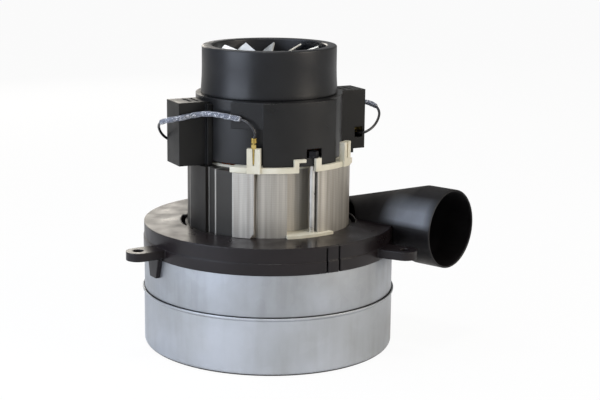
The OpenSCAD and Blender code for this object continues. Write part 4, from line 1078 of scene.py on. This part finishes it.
@dataclass
class DischargeHorn:
    """The tangential outlet: a hood that grows from a flat oval at the ring to a round mouth.

    Attributes:
        az: the direction that it points in.
        radius: outside of the mouth.
        wall: thickness of the wall.
        offset: distance of the mouth's middle across the direction.
        reach: distance of the mouth along it.
        straight: length of the round end.
        drop: how far its middle lies under the top of the disc.
        root_half_width: half axis of the root's section, across.
        root_half_height: half axis of the root's section, upright.
        root_along: distance of the root's middle along the direction.
        root_perp: distance of the root's middle across it.
        ring_radius: outside of the ring that it comes out of.
        disc_z: height of the top of the ring's disc.
        stop_radius: radius at the field stack where it stops short.
        points_round: points round the section.
        points_along: points along each wall.
        points_lip: points round the lip.
        points_tried: places along the hood among which its start is looked for.
    """

    az: float = 49.3
    radius: float = 22.4
    wall: float = 1.2
    offset: float = 54.5
    reach: float = 89.0
    straight: float = 18.0
    drop: float = 1.6
    root_half_width: float = 19.0
    root_half_height: float = 2.2
    root_along: float = -8.0
    root_perp: float = 51.4
    ring_radius: float = 71.85
    disc_z: float = 71.05
    stop_radius: float = 50.3
    points_round: int = 160
    points_along: int = 48
    points_lip: int = 9
    points_tried: int = 500

    def surface(self, t: np.ndarray, angle: np.ndarray, inset: float) -> np.ndarray:
        """Points of the hood.

        The section is an ellipse whose half axes and middle go from the root's to the mouth's as t goes
        from 0 to 1; past 1 it stays round as far as the mouth, at t = 2. Where the section is flat, the
        inset takes no more than half of its height.

        Args:
            t: place along the hood.
            angle: place round the section.
            inset: how far inside the outer skin.

        Returns:
            Points with the shape of t and angle together.
        """
        grow, on = np.clip(t, 0, 1), np.clip(t - 1, 0, 1)
        along = self.root_along + (self.reach - self.straight - self.root_along) * grow + self.straight * on
        perp = self.root_perp + (self.offset - self.root_perp) * grow
        half_w = self.root_half_width + (self.radius - self.root_half_width) * grow - inset
        half_h = self.root_half_height + (self.radius - self.root_half_height) * grow
        half_h = half_h - np.minimum(inset, 0.5 * half_h)
        out, across = direction(self.az)
        side = perp + half_w * np.cos(angle)
        level = along[..., None] * out + side[..., None] * across
        level[..., 2] = self.disc_z - self.drop + half_h * np.sin(angle)
        return level

    def start(self, angle: np.ndarray, inset: float) -> np.ndarray:
        """Where the hood comes out: the last sample that is still in the ring or over the field stack.

        Args:
            angle: places round the section.
            inset: how far inside the outer skin.

        Returns:
            The t of that sample for each angle.
        """
        t = np.linspace(0, 1, self.points_tried)[:, None]
        p = self.surface(t + 0 * angle[None], angle[None] + 0 * t, inset)
        from_shaft = np.hypot(p[..., 0], p[..., 1])
        inside = (from_shaft < self.ring_radius) & (p[..., 2] < self.disc_z) | (from_shaft < self.stop_radius)
        last = np.where(inside.any(axis=0), len(t) - 1 - np.argmax(inside[::-1], axis=0), 0)
        return t[last, 0]

    def build(self, material: bpy.types.Material) -> None:
        """Replaces the horn by a smooth shell, from the ring out round the lip and back in.

        Args:
            material: the horn's material.
        """
        angle = np.linspace(0, math.tau, self.points_round, endpoint=False)
        run = np.linspace(0, 1, self.points_along)[:, None]
        lip = np.linspace(0, math.pi, self.points_lip)[:, None]
        end = 2 - self.wall / 2 / self.straight

        def leg(inset: float) -> np.ndarray:
            """One wall from the ring to just behind the lip.

            Args:
                inset: how far inside the outer skin.

            Returns:
                Points, one row for each step along.
            """
            begin = self.start(angle, inset)[None]
            t = begin + (end - begin) * run
            return self.surface(t, angle[None] + 0 * t, inset)

        middle = self.surface(np.full((1, len(angle)), end), angle[None], self.wall / 2)
        out, across = direction(self.az)
        radial = np.cos(angle)[None, :, None] * across + np.sin(angle)[None, :, None] * np.array([0, 0, 1.0])
        rim = middle + self.wall / 2 * (np.cos(lip)[..., None] * radial + np.sin(lip)[..., None] * out)
        shell = np.concatenate([leg(0.0), rim, leg(self.wall)[::-1]])
        piece = build_piece("discharge_horn_skin", [Skin(shell, wrap_rows=True)], material, Body.MOTOR)
        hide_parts("discharge_horn")


@dataclass
class BrushLead:
    """A brush lead and its woven sleeve on one side, on the same route as in the CAD.

    Attributes:
        side: the brush that it serves.
        bracket_z: height of the underside of the brush-end bracket.
        wire_radius: outside of the lead.
        sleeve_radius: full outside of the sleeve.
        loop_from: distance along the brush axis past which the side's reach counts.
        pin_radius: distance of the terminal pin from the shaft.
        pin_from_brush: angle from the brush axis to the pin.
        pin_height: height of the lead's end on the pin, above the bracket's underside.
        route: each point's distance along the brush axis, distance across it and height above the
            bracket's underside.
        sleeve_span: the points, the pin's as 0, at which the sleeve begins and ends.
        sleeve_fill: mean share of the full radius that the sleeve's outside takes.
        swells: share of the radius, radians a millimetre and start of each swell.
        end_draw: how much the sleeve's ends are drawn in.
        end_length: length over which they are drawn in.
        play: gap between the lead and the sleeve.
        steps: points in each span of the route.
        wire_sides: points round the lead.
        sleeve_sides: points round the sleeve.
    """

    side: Side
    bracket_z: float = 110.0
    wire_radius: float = 0.75
    sleeve_radius: float = 1.6
    loop_from: float = 57.0
    pin_radius: float = 49.1
    pin_from_brush: float = 55.2
    pin_height: float = 16.0
    route: tuple[Triple, ...] = (
        (27.6, 40.6, 18.6), (28.4, 39.9, 21.4), (30.2, 38.1, 24.2),
        (33.2, 34.6, 26.0), (37.8, 29.9, 26.9), (40.4, 23.6, 27.2), (43.0, 18.0, 27.2), (46.4, 13.6, 26.8),
        (51.0, 11.3, 26.0), (56.4, 11.0, 25.2), (61.6, 9.7, 24.4), (65.4, 6.0, 23.3), (66.9, 1.0, 21.6),
        (66.2, -4.2, 18.8), (63.6, -8.4, 15.2), (60.2, -11.0, 11.9), (56.8, -11.5, 9.7),
        (54.2, -9.8, 8.8), (53.2, -7.0, 8.6), (53.0, -3.6, 8.6), (53.0, -0.55, 8.6),
    )
    sleeve_span: tuple[int, int] = (4, 13)
    sleeve_fill: float = 0.93
    swells: tuple[Triple, ...] = ((0.05, 0.9, 0.0), (0.04, 2.1, 1.0))
    end_draw: float = 0.38
    end_length: float = 1.6
    play: float = 0.12
    steps: int = 8
    wire_sides: int = 20
    sleeve_sides: int = 28

    def path(self) -> np.ndarray:
        """The lead's middle line, a smooth curve from the pin through the route's points.

        Returns:
            Points, shape (n, 3).
        """
        turn = math.radians(self.pin_from_brush)
        pin = (self.pin_radius * math.cos(turn), self.pin_radius * math.sin(turn), self.pin_height)
        local = np.array([pin, *self.route])
        beyond = local[:, 0] > self.loop_from
        local[beyond, 0] = self.loop_from + (local[beyond, 0] - self.loop_from) * self.side.reach
        out, across = direction(self.side.az)
        points = local[:, :1] * out + local[:, 1:2] * across
        points[:, 2] = local[:, 2] + self.bracket_z
        return catmull_rom(points, self.steps)

    def sleeve(self, path: np.ndarray) -> tuple[np.ndarray, np.ndarray, np.ndarray]:
        """The sleeve: out along its outside, in along its bore, with its ends drawn in and soft swells.

        The outer radius is the full one times sleeve_fill and the sum of the swells, each a share times
        the sine of a number of radians a millimetre and a start; near an end it is less by end_draw
        times the square of how near it is.

        Args:
            path: the lead's middle line.

        Returns:
            Grid points, turns round and metres along.
        """
        first, last = self.sleeve_span
        middle = path[first * self.steps:last * self.steps + 1]
        s = np.concatenate([[0], np.cumsum(np.linalg.norm(np.diff(middle, axis=0), axis=1))])
        length = s[-1]
        to_end = np.minimum(s, length - s)
        swell = sum(share * np.sin(s * rate + begin) for share, rate, begin in self.swells)
        drawn_in = self.end_draw * np.clip(1 - to_end / self.end_length, 0, 1) ** 2
        outer = self.sleeve_radius * (self.sleeve_fill + swell) - drawn_in
        bore = np.full_like(outer, self.wire_radius + self.play)
        sides = self.sleeve_sides
        grid = np.concatenate([tube_along(middle, outer, sides), tube_along(middle, bore, sides)[::-1]])
        turns = np.broadcast_to(np.abs(np.linspace(-1, 1, sides, endpoint=False))[None, :], grid.shape[:2])
        metres = np.broadcast_to(np.concatenate([s, s[::-1]])[:, None] * MM, grid.shape[:2])
        return grid, turns, metres

    def build(self, wire: bpy.types.Material, braid: bpy.types.Material) -> None:
        """Replaces the CAD lead and sleeve by round ones.

        Args:
            wire: the lead's material.
            braid: the sleeve's material.
        """
        word = self.side.name.lower()
        path = self.path()
        skin = Skin(tube_along(path, np.full(len(path), self.wire_radius), self.wire_sides))
        lead = build_piece(f"brush_lead_{word}", [skin], wire, Body.MOTOR)
        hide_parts(f"lead_wire_{word}")
        grid, turns, metres = self.sleeve(path)
        sleeve = build_piece(f"woven_sleeve_{word}", [Skin(grid, wrap_rows=True)], braid, Body.MOTOR,
                             uv_from=(turns, metres))
        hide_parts(f"lead_sleeve_{word}")


@dataclass
class BrushSpring:
    """The coil spring behind a carbon brush, wound round the brush axis.

    Attributes:
        side: the brush that it presses.
        wire_radius: radius of the wire.
        radius: radius of the wire's middle line.
        curls: turns of the wire.
        start: distance of its inner end from the shaft.
        end: distance of its outer end, at the cap.
        height: height of the brush axis.
        travel: how far the brush slides; not used.
        slack: how much further than that it is pressed together; not used.
        steps: points in a turn.
        sides: points round the wire.
    """

    side: Side
    wire_radius: float = 0.4
    radius: float = 2.5
    curls: int = 7
    start: float = 44.1
    end: float = 54.5
    height: float = 126.25
    travel: float = 4.0
    slack: float = 0.2
    steps: int = 20
    sides: int = 10

    def build(self, material: bpy.types.Material) -> None:
        """Replaces the CAD spring by a round-wired helix: a point goes round as it goes outwards.

        Args:
            material: the spring's material.
        """
        word = self.side.name.lower()
        t = np.linspace(0, 1, self.steps * self.curls + 1)
        out, across = direction(self.side.az)
        turn = math.tau * self.curls * t
        path = (self.start + (self.end - self.start) * t)[:, None] * out \
            + (self.radius * np.cos(turn))[:, None] * across
        path[:, 2] = self.height + self.radius * np.sin(turn)
        skin = Skin(tube_along(path, np.full(len(path), self.wire_radius), self.sides))
        spring = build_piece(f"coil_spring_{word}", [skin], material, Body.MOTOR)
        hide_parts(f"brush_spring_{word}")
        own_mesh(spring)


@dataclass
class WaveWasher:
    """The thin ring with three waves that presses on the upper bearing.

    Attributes:
        inner: inner radius.
        outer: outer radius.
        thickness: thickness of the sheet.
        corner: radius of the edges.
        waves: waves round the ring.
        segments: steps round the ring.
        node: the CAD node that it stands for.
    """

    inner: float = 8.2
    outer: float = 10.6
    thickness: float = 0.3
    corner: float = 0.06
    waves: int = 3
    segments: int = 240
    node: str = "bearing_wave_washer"

    def build(self, material: bpy.types.Material) -> None:
        """Replaces the CAD ring by a smooth one: its height goes with the sine of the waves' angle.

        Args:
            material: the washer's material.
        """
        low, high = (corner.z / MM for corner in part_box(self.node))
        half = self.thickness / 2
        places = ((self.inner, -half), (self.outer, -half), (self.outer, half), (self.inner, half))
        ring = turned(rounded([(*place, self.corner) for place in places], steps=3), self.segments)
        angle = np.arctan2(ring.points[..., 1], ring.points[..., 0])
        ring.points[..., 2] += (low + high) / 2 + ((high - low) / 2 - half) * np.sin(self.waves * angle)
        washer = build_piece("wave_washer", [ring], material, Body.MOTOR)
        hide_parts(self.node)


@dataclass
class ArmatureWinding:
    """The armature's coils: each runs up one slot, over the end of the stack and down another slot.

    Attributes:
        slots: slots of the stack.
        span: slots from one side of a coil to its other side.
        wires: wires of a coil.
        wire_radius: radius of the wire.
        slot_inner: distance of the innermost wire from the shaft in a slot.
        slot_outer: distance of the outermost wire in a slot.
        arc_inner: distance of the innermost wire halfway over the end of the stack.
        arc_outer: distance of the outermost wire there.
        end_gap: gap between the end of the stack and the first wire over it.
        arc_points: points of a wire over one end.
        sides: points round the wire.
        core: the CAD node of the stack.
        node: the CAD node that it stands for.
    """

    slots: int = 12
    span: int = 5
    wires: int = 11
    wire_radius: float = 0.52
    slot_inner: float = 14.8
    slot_outer: float = 21.6
    arc_inner: float = 8.3
    arc_outer: float = 20.4
    end_gap: float = 1.1
    arc_points: int = 22
    sides: int = 6
    core: str = "armature_core"
    node: str = "armature_winding"

    def arc(self, slot_radius: float, arc_radius: float, start: float, end: float) -> np.ndarray:
        """Half a turn beyond one end of the stack.

        Round the shaft the angle grows evenly over the span, the radius goes from the slot's to the
        arc's with the square root of a sine and back, and the height goes evenly from start to end.

        Args:
            slot_radius: distance of the wire from the shaft in its slots.
            arc_radius: distance halfway between them.
            start: height over the first slot.
            end: height over the second slot.

        Returns:
            Points, the first coil's.
        """
        s = np.linspace(0, 1, self.arc_points)
        turn = s * self.span * math.tau / self.slots
        r = slot_radius + (arc_radius - slot_radius) * np.sqrt(np.abs(np.sin(math.pi * s)))
        return np.stack([r * np.cos(turn), r * np.sin(turn), start + (end - start) * s], axis=1)

    def build(self, material: bpy.types.Material) -> None:
        """Replaces the solid winding by its wires: one coil, turned round the shaft from slot to slot.

        Args:
            material: the wires' material.
        """
        low, high = (corner.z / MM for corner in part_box(self.node))
        core_low, core_high = (corner.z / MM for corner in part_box(self.core))
        gap = self.wire_radius + self.end_gap
        loops = [np.concatenate([self.arc(slot, arc, core_high + gap, high - self.wire_radius),
                                 self.arc(slot, arc, core_low - gap, low + self.wire_radius)[::-1]])
                 for slot, arc in zip(np.linspace(self.slot_inner, self.slot_outer, self.wires),
                                      np.linspace(self.arc_inner, self.arc_outer, self.wires))]
        radius = np.full(len(loops[0]), self.wire_radius)
        angles = np.arange(self.slots) * math.tau / self.slots
        turns = [np.array([[math.cos(a), math.sin(a), 0], [-math.sin(a), math.cos(a), 0], [0, 0, 1]])
                 for a in angles]
        skins = [Skin(tube_along(loop @ turn, radius, self.sides, closed=True), wrap_rows=True)
                 for turn in turns for loop in loops]
        coils = build_piece("armature_wires", skins, material, Body.ROTOR)
        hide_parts(self.node)


@dataclass
class FieldWinding:
    """A field coil of the stack: wires that run up beside the pole, round its end and down again.

    Attributes:
        pole_az: direction of the pole.
        node: the CAD node that it stands for.
        wire_radius: radius of the wire.
        inner: inner radius of the coil.
        outer: outer radius of the coil.
        half_angle: how far it reaches from the pole, in degrees.
        window_half_width: half the width of the window round the pole.
        end_depth: height of the coil above and below the window.
        columns: wires from its inside to its outside.
        turns: wires from the window to its edge.
        squareness: power in the formula of a turn.
        points: points of a turn.
        sides: points round the wire.
    """

    pole_az: float
    node: str
    wire_radius: float = 0.55
    inner: float = 30.0
    outer: float = 37.5
    half_angle: float = 75.0
    window_half_width: float = 14.4
    end_depth: float = 7.3
    columns: int = 7
    turns: int = 20
    squareness: int = 8
    points: int = 128
    sides: int = 6

    def loop(self, radius: float, share: float, low: float, high: float) -> np.ndarray:
        """One turn of wire: a rounded rectangle bent round the shaft.

        The turn is |x|^n + |y|^n = 1, where n is the squareness, with x scaled to the angle round the
        shaft and y to the height.

        Args:
            radius: distance from the shaft.
            share: 0 for the turn beside the window and 1 for the outermost one.
            low: height of the coil's lower end.
            high: height of its upper end.

        Returns:
            Points of the closed turn.
        """
        wire = self.wire_radius
        least = math.degrees(math.asin((self.window_half_width + wire) / radius))
        most = self.half_angle - math.degrees(wire / radius)
        half_height = (high - low) / 2 - wire - (self.end_depth - 2 * wire) * (1 - share)
        turn, n = np.linspace(0, math.tau, self.points, endpoint=False), self.squareness
        push = (np.abs(np.cos(turn)) ** n + np.abs(np.sin(turn)) ** n) ** (1 / n)
        az = np.radians(self.pole_az + (least + (most - least) * share) * np.cos(turn) / push)
        z = (low + high) / 2 + half_height * np.sin(turn) / push
        return np.stack([radius * np.sin(az), -radius * np.cos(az), z], axis=1)

    def build(self, material: bpy.types.Material) -> None:
        """Replaces the solid coil by the wires of its surface.

        Args:
            material: the wires' material.
        """
        low, high = (corner.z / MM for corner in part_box(self.node))
        radii = np.linspace(self.inner + self.wire_radius, self.outer - self.wire_radius, self.columns)
        shares = np.linspace(0, 1, self.turns)
        thick = np.full(self.points, self.wire_radius)
        skins = [Skin(tube_along(self.loop(r, s, low, high), thick, self.sides, closed=True), wrap_rows=True)
                 for s in shares for r in radii if s in (0, 1) or r in (radii[0], radii[-1])]
        coil = build_piece(self.node + "_wires", skins, material, Body.MOTOR)
        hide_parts(self.node)


@dataclass(frozen=True)
class Lamp:
    """A soft rectangular lamp that faces the middle of the object.

    Attributes:
        name: where it hangs.
        place: its middle, in metres.
        size: its width and height, in metres.
        watts: its power.
        colour: its colour, sRGB.
        aim_height: height on the shaft axis that it faces, in metres.
    """

    name: str
    place: Triple
    size: tuple[float, float]
    watts: float
    colour: str = WHITE
    aim_height: float = 0.09

    def hang(self) -> None:
        """Adds the lamp, turned by the angles that point its -Z at what it faces."""
        data = bpy.data.lights.new(self.name, "AREA")
        data.shape = "RECTANGLE"
        data.size, data.size_y = self.size
        data.energy = self.watts
        data.color = linear(self.colour)[:3]
        lamp = bpy.data.objects.new(self.name, data)
        lamp.location = self.place
        aim = np.array([0.0, 0.0, self.aim_height]) - np.array(self.place)
        lamp.rotation_euler = (math.acos(-aim[2] / np.linalg.norm(aim)), 0, math.atan2(-aim[0], aim[1]))
        bpy.context.scene.collection.objects.link(lamp)


@dataclass
class Studio:
    """Floor, world, lamps and camera.

    Attributes:
        camera_place: the camera's place, in metres.
        camera_pitch: its turn from straight down, in radians.
        camera_turn: its turn round the upright, in radians.
        focal_mm: focal length.
        sensor_mm: width of the sensor.
        shift_x: how far the picture was cropped off the lens's middle, in sensor widths.
        nearest: distance from which the camera sees, in metres.
        floor_size: side of the floor, in metres.
        floor_colour: colour of the floor, sRGB.
        floor_white: share of white in the floor that the camera sees; the rest keeps the shadow.
        floor_mirrored: how much of that is left where gloss or glass shows the floor.
        sides: colours of the surroundings at the left and at the right.
        surround: strength of the light that the surroundings shed.
        front_gloss: strength at which gloss shows the surroundings in front of the object.
        back_gloss: the same behind it.
        lamps: the lamps.
    """

    camera_place: Triple = (-0.003104, -0.800, 0.2583)
    camera_pitch: float = math.pi / 2 - 0.2171
    camera_turn: float = 0.0268
    focal_mm: float = 85.46
    sensor_mm: float = 36.0
    shift_x: float = 0.12405
    nearest: float = 0.01
    floor_size: float = 6.0
    floor_colour: str = "#f4f4f4"
    floor_white: float = 0.94
    floor_mirrored: float = 0.25
    sides: tuple[str, str] = ("#e3e9f4", "#f3efe6")
    surround: float = 0.38
    front_gloss: float = 1.0
    back_gloss: float = 0.35
    lamps: tuple[Lamp, ...] = (
        Lamp("key", (-0.37, -0.27, 0.215), (0.34, 0.30), 1.4, "#e3edff"),
        Lamp("fill", (0.82, -0.36, 0.42), (0.4, 0.4), 3.8, "#fff4e6"),
        Lamp("back", (-0.42, 1.0, 0.37), (0.7, 0.35), 3.0, "#fff8ec"),
        Lamp("top", (0.0, -0.22, 1.1), (0.2, 0.2), 2.6),
        Lamp("high", (-0.24, 0.02, 0.60), (0.3, 0.3), 0.9, "#e3edff"),
    )

    def floor(self) -> None:
        """A white floor that shows white to the camera and keeps the object's shadow."""
        bpy.ops.mesh.primitive_plane_add(size=self.floor_size, location=(0, 0, 0))
        plane = bpy.context.object
        plane.name = "floor"
        made = bpy.data.materials.new("white_floor")
        made.use_nodes = True
        tree = made.node_tree
        tree.nodes.clear()
        path = add_node(tree, "LightPath")
        mirrored = add_node(tree, "Math", (path["Is Glossy Ray"], path["Is Transmission Ray"]),
                            operation="MAXIMUM")
        dimmed = add_node(tree, "Math", (mirrored[0], self.floor_mirrored), operation="MULTIPLY")
        seen = add_node(tree, "Math", (path["Is Camera Ray"], dimmed[0]), operation="MAXIMUM")
        share = add_node(tree, "Math", (seen[0], self.floor_white), operation="MULTIPLY")
        paint = add_node(tree, "BsdfDiffuse", {"Color": self.floor_colour})
        glow = add_node(tree, "Emission", {"Color": WHITE, "Strength": 1.0})
        both = add_node(tree, "MixShader", (share[0], paint[0], glow[0]))
        add_node(tree, "OutputMaterial", (both[0],))
        plane.data.materials.append(made)

    def world(self) -> None:
        """White to camera and glass, dimmer for the light that it sheds, cooler on the left.

        Gloss shows it brighter in front of the object than behind it.
        """
        world = bpy.data.worlds.new("studio")
        world.use_nodes = True
        tree = world.node_tree
        tree.nodes.clear()
        path = add_node(tree, "LightPath")
        seen = add_node(tree, "Math", (path["Is Camera Ray"], path["Is Transmission Ray"]),
                        operation="MAXIMUM")
        toward = add_node(tree, "SeparateXYZ", (add_node(tree, "TexCoord")["Generated"],))
        right = add_node(tree, "MapRange", (toward[0], -0.7, 0.7, 0, 1))
        tint = add_node(tree, "Mix", {0: right[0], 6: self.sides[0], 7: self.sides[1]}, data_type="RGBA")
        gloss = add_node(tree, "MapRange", (toward[1], -0.4, 0.5, self.front_gloss, self.back_gloss))
        more = add_node(tree, "Math", (gloss[0], self.surround), operation="SUBTRACT")
        added = add_node(tree, "Math", (path["Is Glossy Ray"], more[0]), operation="MULTIPLY")
        strength = add_node(tree, "Math", (added[0], self.surround), operation="ADD")
        around = add_node(tree, "Background", {"Color": tint[2], "Strength": strength[0]})
        white = add_node(tree, "Background", {"Color": WHITE, "Strength": 1.0})
        mixed = add_node(tree, "MixShader", (seen[0], around[0], white[0]))
        add_node(tree, "OutputWorld", (mixed[0],))
        bpy.context.scene.world = world

    def camera(self) -> None:
        """The photograph's camera: a lens of about 85 mm, shifted because the picture was cropped."""
        data = bpy.data.cameras.new("camera")
        data.sensor_width = self.sensor_mm
        data.lens = self.focal_mm
        data.shift_x = self.shift_x
        data.clip_start = self.nearest
        camera = bpy.data.objects.new("camera", data)
        camera.location = self.camera_place
        camera.rotation_euler = (self.camera_pitch, 0, self.camera_turn)
        bpy.context.scene.collection.objects.link(camera)
        bpy.context.scene.camera = camera

    def build(self) -> None:
        """Builds the studio."""
        self.camera()
        self.floor()
        self.world()
        for lamp in self.lamps:
            lamp.hang()
        bpy.context.scene.view_settings.view_transform = "Standard"


# Making


def main() -> None:
    """Builds the studio, dresses the CAD nodes and adds the finer pieces."""
    logging.basicConfig(level=logging.INFO, format="%(name)s: %(message)s")
    Studio().build()
    materials = Wardrobe().dress()
    FanCase().build(materials[ZINC_SHEET], materials[UPPER_ZINC_SHEET])
    CoolingCollar().build(materials[COLLAR_PLASTIC])
    DischargeHorn().build(materials[HORN_PLASTIC])
    for side in Side:
        BrushLead(side).build(materials[CABLE_PVC], materials[GLASS_SLEEVE])
        BrushSpring(side).build(materials[TURNED_STEEL])
    WaveWasher().build(materials[TURNED_STEEL])
    ArmatureWinding().build(materials[COPPER_WIRE])
    FieldWinding(29.6, "field_coil_front").build(materials[COPPER_WIRE])
    FieldWinding(209.6, "field_coil_rear").build(materials[COPPER_WIRE])


if __name__ == "__main__":
    main()
